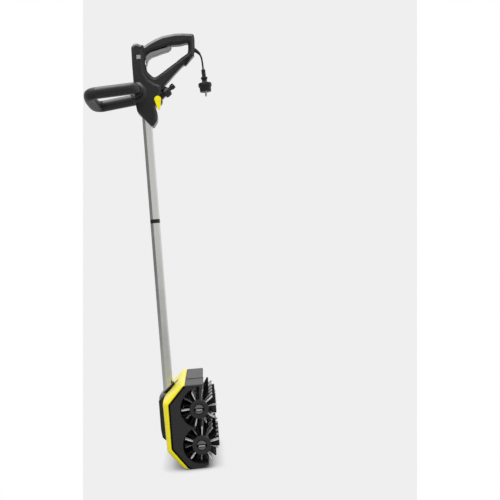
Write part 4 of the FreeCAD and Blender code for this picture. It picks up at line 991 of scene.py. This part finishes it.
@dataclass
class Casing(Part):
    """Moulded casing with the D-shaped grip, in two halves.

    Outlines, pivot, key and screws' places are shares of its width and height. The boss, the collar
    and the nozzle are outlines of radius and distance, and screw is the radius and depth of a sink.
    Seam is how far each half stands back from the middle.
    """

    left: float = STICK_X - 26.0
    low: float = 838.0
    width: float = 162.0
    height: float = 230.0
    column_half: float = 25.0
    grip_half: float = 17.0
    grip_chamfer: float = 7.0
    corner: float = 9.0
    seam: float = 0.09
    pivot: Pair = (0.586, 0.906)
    key: Pair = (0.111, 0.765)
    slot_half: float = 11.5
    boss: Table = ((28.0, 18.0), (28.0, 25.0), (20.0, 30.7))
    boss_inset: float = 0.2
    screw: Pair = (3.9, 3.0)
    back: Table = (
        (0.006, 0.887), (0.055, 0.922), (0.105, 0.921), (0.148, 0.905), (0.21, 0.900))
    foot: Table = (
        (0.42, 0.395), (0.41, 0.36), (0.36, 0.27), (0.302, 0.209), (0.327, 0.17), (0.333, 0.109),
        (0.321, 0.061), (0.259, 0.0), (0.216, 0.009), (0.08, 0.122), (0.025, 0.17), (0.006, 0.252),
        (0.0, 0.505), (0.0, 0.687))
    inner: Table = (
        (0.205, 0.900), (0.18, 0.83), (0.172, 0.70), (0.172, 0.60), (0.235, 0.515), (0.32, 0.472),
        (0.42, 0.44))
    hole: Table = (
        (0.216, 0.678), (0.216, 0.63), (0.235, 0.604), (0.296, 0.557), (0.333, 0.543),
        (0.377, 0.557), (0.475, 0.6), (0.605, 0.661), (0.673, 0.691), (0.765, 0.739), (0.87, 0.783),
        (0.883, 0.8), (0.889, 0.826), (0.895, 0.891), (0.883, 0.904), (0.772, 0.889), (0.63, 0.888),
        (0.537, 0.87), (0.457, 0.857), (0.377, 0.843), (0.296, 0.83), (0.228, 0.796), (0.21, 0.765),
        (0.204, 0.726))
    grip: Table = (
        (0.1, 0.84), (0.13, 0.893), (0.21, 0.900), (0.278, 0.93), (0.395, 0.969), (0.506, 0.996),
        (0.685, 1.013), (0.815, 1.012), (0.996, 0.998), (1.003, 0.943), (0.994, 0.822),
        (0.965, 0.754), (0.766, 0.645), (0.66, 0.575), (0.478, 0.449), (0.42, 0.395), (0.3, 0.36),
        (0.1, 0.5))
    column_screws: Table = ((0.071, 0.861), (0.17, 0.5), (0.275, 0.13))
    grip_screws: Table = ((0.636, 0.613), (0.827, 0.965))
    trigger_low: Table = (
        (0.2185, 0.683), (0.2305, 0.70), (0.247, 0.733), (0.265, 0.754), (0.309, 0.777),
        (0.414, 0.798), (0.469, 0.811), (0.575, 0.828), (0.617, 0.848), (0.632, 0.868))
    hook: Table = (
        (0.79, 0.668), (0.835, 0.656), (0.98, 0.761), (0.975, 0.791), (0.96, 0.781), (0.8, 0.681))
    hub: Pair = (STICK_X - 21.0, 924.0)
    valve: Pair = (-8.004, 903.09)
    nut: Pair = (15.0, 926.09)
    inlet_angle: float = 39.0
    collar: Table = (
        (6.0, -8.5), (12.3, -8.5), (13.2, -4.8), (13.4, -4.2), (13.4, 5.6), (12.9, 6.4), (8.4, 8.8),
        (6.0, 9.0))
    nozzle: Table = (
        (4.0, -5.0), (6.0, -5.0), (6.0, 9.5), (5.3, 10.2), (5.3, 14.6), (6.9, 15.6), (7.2, 16.2),
        (7.2, 23.6), (6.2, 25.4), (4.4, 25.5), (4.0, 25.1))

    def at(self, share: Pair) -> Pair:
        """Place in the handle from its shares of width and height."""
        return (self.left + share[0] * self.width, self.low + share[1] * self.height)

    def along(self, shares: Iterable[Pair]) -> list[Pair]:
        """Places in the handle from a table of shares."""
        return [self.at(share) for share in shares]

    def trigger_top(self) -> list[Pair]:
        """Upper edge of the trigger, which follows the hole."""
        return self.along([(0.63, 0.887), *self.hole[-7:]])

    def neck(self, half: float, start: float, end: float) -> Mesh:
        """Cutter for a straight square neck along the inlet.

        Args:
            half: Half its width.
            start: Where it starts, from the middle of the collar.
            end: Where it ends.

        Returns:
            A closed mesh.
        """
        turn = math.radians(self.inlet_angle)
        way, side = (Vector((math.cos(turn), math.sin(turn))),
                     Vector((-math.sin(turn), math.cos(turn))))
        corners = ((start, -half), (end, -half), (end, half), (start, half))
        return Form.plate([tuple(Vector(self.nut) + way * a + side * b) for a, b in corners],
                          -half, half)

    def whole(self) -> Mesh:
        """Both halves of the casing as one body, with its recesses.

        Returns:
            A closed mesh.
        """
        outline = self.along(self.back[:-1] + self.inner + self.foot)
        column = Form.rounded(outline, self.corner)
        half, chamfer, slack = self.grip_half, self.grip_chamfer, 0.4
        hole = self.chamfered(self.hole, 8.0, half + slack, -chamfer - slack)
        ring = Form.carved(self.chamfered(self.grip, 13.0, half, chamfer), [hole])
        clip = Form.plate(Form.shrunk(column, self.boss_inset), -40.0, 40.0)
        bosses = []
        for side in (-1, 1):
            steps = [[Vector((x, side * depth, z))
                      for x, z in Form.arc(self.hub, radius, 22.5, 337.5, 7)]
                     for radius, depth in self.boss]
            bosses.append(Form.carved(Form.grid(steps), [clip], "INTERSECT"))
        solid = Form.plate(column, -self.column_half, self.column_half, 6.0)
        body = Form.carved(solid, [ring, *bosses], "UNION")
        line, key, deep = self.trigger_top(), self.at(self.key), self.slot_half
        x, z = line[-1]
        slot = [*line, (x + 2.5, z - 8.0), (x - 4.0, z - 8.0), (x - 4.0, z + 8.0),
                *((x, z + 8.5) for x, z in reversed(line[1:-1]))]
        cutters = [
            Form.plate(slot, -deep, deep),
            Form.plate(Form.square(self.at(self.pivot), 5.2, 9.0), -deep, deep),
            Form.plate(Form.rounded(Form.square(key, 7.6, 7.6), 2.0), -26.0, -23.4),
            Form.plate(Form.square(key, 5.4, 5.4), -26.0, -8.0),
            self.neck(13.9, -5.5, 20.0),
            self.neck(7.0, -40.0, 0.0)]
        radius, depth = self.screw
        sink = [(AXIS_RADIUS, 0), (radius, 0), (radius, 3 * depth), (AXIS_RADIUS, 3 * depth)]
        for places, reach in ((self.column_screws, self.column_half),
                              (self.grip_screws, self.grip_half)):
            cutters += [Form.lathe(sink, Vector((x, reach - depth, z)), ACROSS, 24)
                        for x, z in self.along(places)]
        return Form.carved(body, cutters)

    def chamfered(self, shares: Iterable[Pair], radius: float, half: float, chamfer: float) -> Mesh:
        """Plate across the machine with chamfered edges.

        Args:
            shares: Its outline, as shares of the handle.
            radius: Radius of the outline's corners.
            half: Half its thickness.
            chamfer: Width of the chamfer; a negative one flares outwards, for a cutter.

        Returns:
            A closed mesh.
        """
        outline, level, rings = self.along(shares), half - abs(chamfer), []
        for place, wider in ((-half, -chamfer), (-level, 0.0), (level, 0.0), (half, -chamfer)):
            edge = Form.rounded(Form.grown(outline, wider), radius + wider)
            rings.append([Vector((x, place, z)) for x, z in edge])
        return Form.grid(rings)

    def trigger(self) -> Mesh:
        """Trigger blade with its tongue.

        Returns:
            The mesh.
        """
        *line, (x, z) = self.trigger_top()
        blade = [(a, b - 0.5) for a, b in line] + [(x + 1.0, z)] + self.along(self.trigger_low)
        body = Form.plate(Form.rounded(blade, 4.0, 3), -11.0, 11.0, 2.6, 2)
        x, z = self.at(self.pivot)
        return Form.combined([body, Form.plate(Form.square((x, z - 7.0), 4.0, 3.5), -6.0, 6.0)])

    def lever(self) -> Mesh:
        """Valve lever: round head and blunt tail.

        Returns:
            The mesh.
        """
        x, z = self.valve
        ends = ((-2.9, 2.6), (0, -0.4), (2.9, 2.6))
        tail = [(x + 1.25 + across, z - 27.0 + up) for across, up in ends]
        outline = Form.arc(self.valve, 8.7, -18.0, 198.0, 30) + tail
        return Form.combined([
            Form.plate(Form.rounded(outline, 2.0, 3), -32.0, -25.3, 1.6, 2),
            Form.lathe([(7.2, 0), (7.2, 0.5), (6.6, 1.1), (AXIS_RADIUS, 1.4)],
                       Vector((x, -31.7, z)), -ACROSS, 40),
            Form.lathe([(AXIS_RADIUS, 0), (4.0, 0), (4.0, 30), (AXIS_RADIUS, 30)],
                       Vector((x, -27, z)), ACROSS, 24)])

    def build(self, bench: Bench) -> None:
        """Make the casing and what is set in it."""
        whole = self.whole()
        for side, near in (("near", True), ("far", False)):
            bench.piece(f"casing_{side}_half", Form.half(whole, near, self.seam), BLACK, "stick",
                        [f"{side}_handle_shell"])
        bench.piece("trigger_blade", self.trigger(), TRIGGER, "trigger", ["trigger"])
        bench.piece("valve_handle", self.lever(), LEVER_YELLOW, "valve_lever", ["valve_lever"])
        turn = math.radians(self.inlet_angle)
        way = Vector((math.cos(turn), 0, math.sin(turn)))
        middle = Vector((self.nut[0], 0, self.nut[1]))
        collar = Form.lathe(self.collar, middle, way, 96, self.knurl)
        bench.piece("inlet_collar", collar, BLACK, "stick", ["inlet_nut"])
        nozzle = Form.lathe(self.nozzle, middle, way, hollow=True)
        bench.piece("inlet_nozzle", nozzle, BLACK, "stick", ["inlet_nipple"])
        bench.piece("lead_hook", self.hanger(), BLACK, "stick", ["cable_hook"])
        bench.dress(BLACK, "valve_body", "loop_bolt", "trigger_pin")
        bench.dress(KEYS, "lock_button")
        bench.dress(STEEL, "casing_screws")
        bench.dress(CRADLE, "microswitch")
        bench.dress(CORD, "inner_hose", "motor_cable", "supply_cable")

    def hanger(self) -> Mesh:
        """Hook for the lead, with its ribs.

        Returns:
            The mesh.
        """
        parts = [Form.plate(Form.rounded(self.along(self.hook), 1.6, 3), -8.0, 8.0, 1.4, 1)]
        for index in range(3):
            a, b = (Vector(self.at((x + index * step, z - index * step)))
                    for x, z, step in ((0.845, 0.701, 0.012), (0.945, 0.768, 0.008)))
            side = Vector((a.y - b.y, b.x - a.x)).normalized() * 0.5
            corners = [tuple(spot) for spot in (a - side, b - side, b + side, a + side)]
            parts.append(Form.plate(corners, -16.6, -6.0, 0.2))
        return Form.combined(parts)

    @staticmethod
    def knurl(angle: float, distance: float) -> float:
        """Finger ribs round the collar."""
        return 1.0 - (0.06 if math.cos(angle * 12) < -0.3 and -4.8 < distance < 4 else 0.0)


@dataclass
class LoopHandle(Part):
    """Loop handle for the second hand.

    Line holds reach, side and thickness along one arm, as shares of the reach and of half_width.
    The grip begins at the seam, a share of the reach, and lip is how small it starts there. Drop is
    in degrees, and squareness is the power of the cross-section.
    """

    hub: Pair = (STICK_X - 21.0, 926.5)
    reach: float = 130.0
    half_width: float = 100.0
    bar: float = 29.0
    drop: float = 5.5
    seam: float = 0.72
    lip: float = 0.93
    squareness: float = 2.5
    line: tuple[Triple, ...] = (
        (0.0, 0.25, 0.143), (0.0, 0.312, 0.143), (0.0, 0.45, 0.143), (0.0, 0.58, 0.143),
        (0.02, 0.66, 0.143), (0.07, 0.713, 0.142), (0.16, 0.739, 0.14), (0.4, 0.79, 0.14),
        (0.66, 0.845, 0.14), (0.75, 0.852, 0.138), (0.82, 0.795, 0.136), (0.866, 0.66, 0.138),
        (0.884, 0.45, 0.141), (0.89, 0.2, 0.142), (0.89, 0.0, 0.142))
    collar: Table = (
        (12.0, 0.0), (16.6, 0.0), (17.0, 0.5), (17.0, 3.0), (15.4, 3.8), (15.4, 5.2), (17.0, 6.0),
        (17.0, 8.2), (15.4, 9.0), (15.4, 10.4), (16.6, 11.2), (16.6, 13.4), (15.6, 14.6),
        (12.0, 15.0))
    collar_start: float = 31.0

    def rings(self, side: int) -> list[tuple[float, list[Vector]]]:
        """Cross-sections of one arm, from its hub to the middle of the far bar.

        Args:
            side: Minus one for the near arm.

        Returns:
            The share of reach and the points of each section.
        """
        points = [Vector((-a * self.reach, b * self.half_width * side, 0)) for a, b, _ in self.line]
        widths = [c * self.half_width for _, _, c in self.line]
        spots: list[tuple[Vector, float]] = []
        for index in range(1, len(points) - 1):
            a, b, c = points[index - 1], points[index], points[index + 1]
            d = (points[index + 2] if index + 2 < len(points)
                 else Vector((c.x, c.y - (b.y - c.y), 0)))
            for step in range(6):
                t = step / 6
                spot = 0.5 * (2 * b + (c - a) * t + (2 * a - 5 * b + 4 * c - d) * t ** 2
                              + (3 * b - a - 3 * c + d) * t ** 3)
                spots.append((spot, widths[index] * (1 - t) + widths[index + 1] * t))
        spots.append((points[-1], widths[-1]))
        result = []
        for index, (spot, width) in enumerate(spots):
            near, far = spots[max(0, index - 1)][0], spots[min(len(spots) - 1, index + 1)][0]
            way = (far - near).normalized() if index < len(spots) - 1 else ACROSS * -side
            result.append((-spot.x / self.reach, self.section(spot, way, width)))
        return result

    def section(self, spot: Vector, way: Vector, width: float) -> list[Vector]:
        """Rounded cross-section about a point of the arm's line.

        Args:
            spot: The point.
            way: Where the arm goes there.
            width: Half its width there.

        Returns:
            The points of the section.
        """
        aside, power, ring = Vector((way.y, -way.x, 0)), self.squareness, []
        for step in range(32):
            turn = CIRCLE * (step + 0.5) / 32
            c, s = math.cos(turn), math.sin(turn)
            reach = (abs(c) ** power + abs(s) ** power) ** (-1 / power)
            ring.append(spot + aside * (c * reach * width)
                        + Vector((0, 0, s * reach * self.bar / 2)))
        return ring

    def placed(self, mesh: Mesh) -> Mesh:
        """Put a mesh drawn about the hubs in its place."""
        mesh.transform(Matrix.Translation((self.hub[0] * MM, 0, self.hub[1] * MM))
                       @ Matrix.Rotation(math.radians(-self.drop), 4, "Y"))
        return mesh

    def build(self, bench: Bench) -> None:
        """Make the two arms and the grip between them."""
        arms, grip = [], []
        for side in (-1, 1):
            rings = self.rings(side)
            cut = next(index for index, (share, _) in enumerate(rings) if share > self.seam)
            arms += [Form.grid([ring for _, ring in rings[:cut + 1]]),
                     Form.lathe(self.collar, ACROSS * side * self.collar_start, ACROSS * side, 64)]
            grip.append([ring for _, ring in rings[cut:]])
        first = grip[0][0]
        middle = sum(first, Vector()) / len(first)
        near_half = [[middle + (point - middle) * self.lip for point in first], *grip[0]]
        flipped = [[Vector((p.x, -p.y, p.z)) for p in ring] for ring in near_half]
        bar = Form.grid(near_half + flipped[-2::-1])
        bench.piece("loop_arm_pair", self.placed(Form.combined(arms)), BLACK, "loop", ["loop_arms"])
        bench.piece("loop_grip_bar", self.placed(bar), GRIP, "loop", ["loop_grip"])


@dataclass
class HeadCover(Part):
    """Crowned yellow shell that wraps the back of the head.

    Rim and crown are its outlines at an end and in the middle. The gap for the joint is half a
    width, a lowest and a highest place, and the notch above it half a width and a highest place.
    """

    half: float = 158.0
    wall: float = 2.5
    rim: Table = (
        (7.0, 197.0), (4.5, 197.0), (-34.5, 155.0), (-34.5, 50.0), (0.5, 3.0), (7.0, 0.0))
    crown: Table = (
        (7.0, 200.0), (-5.0, 198.75), (-50.0, 158.0), (-47.5, 40.0), (-13.0, 0.0), (7.0, 0.0))
    crowning: float = 2.65
    gap: Triple = (36.5, 46.6, 178.0)
    notch: Pair = (21.0, 190.0)
    # width and depth of the black strip round the near rim: painted shade of the gap to the panel
    gap_shade_strip: Pair = (4.2, 2.5)

    def section(self, share: float) -> list[Pair]:
        """Open outline of the cover at a share of its full crown."""
        points = [(a + (c - a) * share, b + (d - b) * share)
                  for (a, b), (c, d) in zip(self.rim, self.crown)]
        return Form.rounded(points, 7.0 + 9.0 * share, 6, closed=False)

    def shell(self) -> Mesh:
        """The outer face, with the opening for the joint.

        Returns:
            An open mesh.
        """
        stations = []
        for step in range(15):
            turn, power = math.pi / 2 * step / 14, 2 / self.crowning
            stations.append((0.6 + 0.4 * math.cos(turn) ** power, math.sin(turn) ** power))
        rows = [(-share, crown) for share, crown in stations] + stations[::-1]
        mesh = Form.grid([[Vector((x, place * self.half, z)) for x, z in self.section(crown)]
                          for place, crown in rows], closed=False, caps=False)
        (wide, low, high), (narrow, top) = self.gap, self.notch
        with Form.edited(mesh) as work:
            for place in (-wide, -narrow, narrow, wide):
                Form.sliced(work, (0, place, 0), (0, 1, 0))
            for level in (low, high, top):
                Form.sliced(work, (0, 0, level), (0, 0, 1))
            middles = {face: face.calc_center_median() / MM for face in work.faces}
            gone = [face for face, spot in middles.items() if spot.x < -12 and (
                abs(spot.y) < wide and low < spot.z < high
                or abs(spot.y) < narrow and low < spot.z < top)]
            bmesh.ops.delete(work, geom=gone, context="FACES")
            outward = min(work.faces, key=lambda face: face.calc_center_median().x)
            if outward.normal.x > 0:
                bmesh.ops.reverse_faces(work, faces=work.faces)
        return mesh

    def build(self, bench: Bench) -> None:
        """Make the cover and the black strip at its near end, painted shade of the gap to the panel.
        """
        cover = bench.piece("head_cover_shell", self.shell(), YELLOW, "head", ["head_cover"], 50.0)
        thick = cover.modifiers.new("wall", "SOLIDIFY")
        thick.thickness, thick.offset = self.wall * MM, -1.0
        line = Form.rounded(self.rim, 7.0, 6, closed=False)
        width, depth = self.gap_shade_strip
        inside = [(x + way.y * width, z - way.x * width)
                  for (x, z), way in zip(line, self.ways(line))]
        start = -self.half - 0.5
        # black strip inside the rim: painted shade of the seam's gap
        gap_shade_strip = Form.plate(line + inside[::-1], start, start + depth, 0.2)
        bench.piece("cover_seal", gap_shade_strip, PAINTED_SHADE, "head")

    @staticmethod
    def ways(line: Line) -> list[Vector]:
        """Direction of a line at each of its points, from right to left over the top."""
        spots = [Vector(spot) for spot in (line[0], *line, line[-1])]
        return [(back - front).normalized() for back, front in zip(spots, spots[2:])]


@dataclass
class Roller(Part):
    """One brush roller with its knob.

    First is the angle of its first grey row. Bundles are a count and a pitch; spread, deep and
    thick are half a tuft's width, half a bundle's depth and a bristle's radius, at root and tip.
    """

    name: str
    axis: Pair
    first: float = 38.0
    near: float = -158.0
    far: float = 138.0
    reach: float = 42.2
    root: float = 19.5
    rows: int = 11
    pitch: float = 26.0
    bundles: tuple[int, float] = (4, 4.93)
    strands: int = 26
    spread: Pair = (1.3, 2.5)
    deep: Pair = (1.7, 2.3)
    thick: Pair = (0.36, 0.25)
    moon: float = 10.8

    def tufts(self, angles: Callable[[int], list[float]], seed: int, slim: float = 1.0) -> Mesh:
        """Bristles of all the tufts at some angles.

        Args:
            angles: The angles of the tufts of a row.
            seed: Start of the random numbers.
            slim: Factor on the spread of each tuft.

        Returns:
            A mesh of fine tapered bristles.
        """
        chance = random.Random(seed)
        verts: list[Vector] = []
        faces: list[tuple[int, ...]] = []
        for row in range(self.rows):
            for angle in angles(row):
                turn = math.radians(angle)
                out, side = (Vector((math.cos(turn), 0, math.sin(turn))),
                             Vector((-math.sin(turn), 0, math.cos(turn))))
                for bundle in range(self.bundles[0]):
                    middle = self.near + 10.6 + row * self.pitch + bundle * self.bundles[1]
                    centre = Vector((self.axis[0], middle, self.axis[1]))
                    for _ in range(self.strands):
                        base = len(verts)
                        verts += self.strand(chance, centre, out, side, slim)
                        faces += [(base + a, base + b, base + b + 3, base + a + 3)
                                  for a, b in ((0, 1), (1, 2), (2, 0))]
        mesh = bpy.data.meshes.new("bristles")
        mesh.from_pydata([tuple(vert * MM) for vert in verts], [], faces)
        return mesh

    def strand(self, chance: random.Random, centre: Vector, out: Vector, side: Vector,
               slim: float) -> list[Vector]:
        """One bristle: three points at its root and three at its tip.

        Args:
            chance: Source of its random numbers.
            centre: The roller's axis in the middle of the bundle.
            out: Where the bundle points.
            side: Across it.
            slim: Factor on its spread.

        Returns:
            The six points.
        """
        a, b = chance.uniform(-1, 1), chance.uniform(-1, 1)
        if a * a + b * b > 1.15:
            a, b = a * 0.7, b * 0.7
        top = self.reach - 0.1 - chance.random() ** 2 * 1.6
        start = (centre + out * self.root + side * a * self.spread[0] * slim ** 2
                 + ACROSS * b * self.deep[0])
        wide = a * self.spread[1] * slim + chance.uniform(-0.35, 0.35) * slim
        top = min(top, math.sqrt(max(1.0, (self.reach - 0.05) ** 2 - wide ** 2)))
        end = (centre + out * top + side * wide
               + ACROSS * (b * self.deep[1] + chance.uniform(-0.3, 0.3)))
        bends = [math.radians(120 * corner) + a for corner in range(3)]
        return [spot + (side * math.cos(bend) + ACROSS * math.sin(bend)) * thick
                for spot, thick in zip((start, end), self.thick) for bend in bends]

    def core(self) -> Mesh:
        """Roller core with its near ring.

        Returns:
            A closed mesh.
        """
        end = self.far - self.near
        profile = [(12.6, 4.8), (12.6, 0.6), (13.2, 0.0), (21.3, 0.0), (22.1, 0.5), (22.3, 1.2),
                   (22.3, 7.4), (21.8, 8.0), (20.0, 8.4), (20.0, end - 0.6), (19.4, end),
                   (8.0, end), (8.0, end - 6.0), (6.1, end - 6.0), (6.1, 4.8)]
        start = Vector((self.axis[0], self.near, self.axis[1]))
        return Form.lathe(profile, start, ACROSS, 56, hollow=True)

    def knob(self) -> tuple[Mesh, Mesh, Mesh]:
        """Twist-lock knob: its base, two raised half-moons, and the bar between them.

        Returns:
            The three meshes.
        """
        (x, z), near = self.axis, self.near
        # the black base shows round the moons and in the gaps by the bar: painted shade
        outline = [(AXIS_RADIUS, 5.0), (12.2, 5.0), (12.2, 1.6), (11.9, 1.3), (AXIS_RADIUS, 1.3)]
        base = Form.lathe(outline, Vector((x, near, z)), ACROSS)
        arcs = [Form.arc(self.axis, self.moon, *ends, 24) for ends in ((203.0, 337.0), (13.0, 167.0))]
        moons = [Form.plate(arc, near - 0.3, near + 2.0, 0.5, 1) for arc in arcs]
        # the bar is light grey as a painted highlight along it
        slab = Form.rounded(Form.square((x, z - 1.4), 7.4, 1.25), 0.6, 2)
        return base, Form.combined(moons), Form.plate(slab, near - 1.6, near + 2.0, 0.3, 1)

    def build(self, bench: Bench) -> None:
        """Make the bristles, the core and the knob."""
        black = self.tufts(lambda row: [self.first + 18 + 36 * index for index in range(10)], 11)
        grey = self.tufts(
            lambda row: [self.first + (row % 2) * 36 + 72 * index for index in range(5)], 23, 0.66)
        base, moons, bar = self.knob()
        for piece, mesh, finish, body, node, smooth in (
                ("black_bristles", black, BLACK_BRISTLE, "brush", "black_tufts", 180.0),
                ("grey_bristles", grey, GREY_BRISTLE, "brush", "grey_tufts", 180.0),
                ("core_tube", self.core(), CORE, "brush", "roller_core", 30.0),
                # knob_base is painted shade; knob_bar's light grey is a painted highlight
                ("knob_base", base, PAINTED_SHADE, "knob", "", 30.0),
                ("twist_knob", moons, KNOB, "knob", "knob", 30.0),
                ("knob_bar", bar, KEYS, "knob", "", 30.0)):
            bench.piece(f"{self.name}_{piece}", mesh, finish, f"{self.name}_{body}",
                        [f"{self.name}_{node}"] if node else [], smooth)
        bench.dress(STEEL, self.name + "_shaft")
        bench.dress(GEARS, self.name + "_roller_gear")


class Head(Part):
    """Everything of the head that keeps its CAD form."""

    def build(self, bench: Bench) -> None:
        """Give the carried nodes their finishes."""
        bench.dress(PANEL, "near_side_panel", "brush_housing", "gear_case", "gear_case_lid")
        bench.dress(BLACK, "joint_housing", "spray_bar", "head_hose", "tube_joiner")
        bench.dress(CORD, "head_cable")
        bench.dress(CRADLE, "motor_cradle_near", "motor_cradle_far")
        bench.dress(CAN, "motor")
        bench.dress(STEEL, "upper_bearing", "lower_bearing", "gear_axles", "lid_screws",
                    "joint_pin")
        bench.dress(GEARS, "upper_idler_gear", "lower_idler_gear", "reduction_gear", "motor_pinion")


@dataclass
class Stick(Part):
    """Tube and knuckle, which is split by a plane in its metal barrel and its black socket."""

    split: Triple = (-46.0, 0.0, 163.0)
    slope: Triple = (0.35, 0.0, 1.0)

    def build(self, bench: Bench) -> None:
        """Dress the tube and split the knuckle in its barrel and its socket."""
        bench.dress(ALUMINIUM, "lower_tube", "upper_tube")
        node = bench.nodes["knuckle"]
        for name, above, finish in (("knuckle_barrel", False, JOINT),
                                    ("knuckle_socket", True, BLACK)):
            mesh = bpy.data.meshes.new(name)
            with Form.edited(mesh, node.data) as work:
                work.transform(node.matrix_world)
                Form.sliced(work, self.split, self.slope, clear_inner=above, clear_outer=not above)
                rim = [edge for edge in work.edges if edge.is_boundary]
                bmesh.ops.triangle_fill(work, edges=rim, use_beauty=True)
                bmesh.ops.recalc_face_normals(work, faces=work.faces)
            bench.piece(name, mesh, finish, "stick", [] if above else ["knuckle"])


def main() -> None:
    """Build the scene, piece by piece."""
    logging.basicConfig(level=logging.INFO, format="%(name)s: %(message)s")
    bpy.context.scene.view_settings.view_transform = "Standard"
    bench = Bench(frame)
    camera = Viewpoint().build()
    Lead().build(bench)
    Studio().build(camera)
    for part in (Casing(), LoopHandle(), Stick(), HeadCover(), Roller("upper", (37.0, 139.0)),
                 Roller("lower", (37.0, 54.0), 13.0), Head()):
        part.build(bench)
    LOG.info("nodes without a finish: %s", sorted(bench.left))
    for name, spot, width, watts, lit in (
            ("front", (-0.8, -2.5, 0.7), 1.6, 24.0, (YELLOW, LEVER_YELLOW, GREY_BRISTLE)),
            ("metal", (0.1, -2.6, 0.9), 1.2, 2.6, (ALUMINIUM,)),
            ("strip", (-0.4, -0.5, 2.6), 2.2, 60.0, (BLACK, GRIP, CORD))):
        Studio.lamp(name, spot, width, watts, bench.wearing(*lit))
    bpy.context.view_layer.update()


if __name__ == "__main__":
    main()
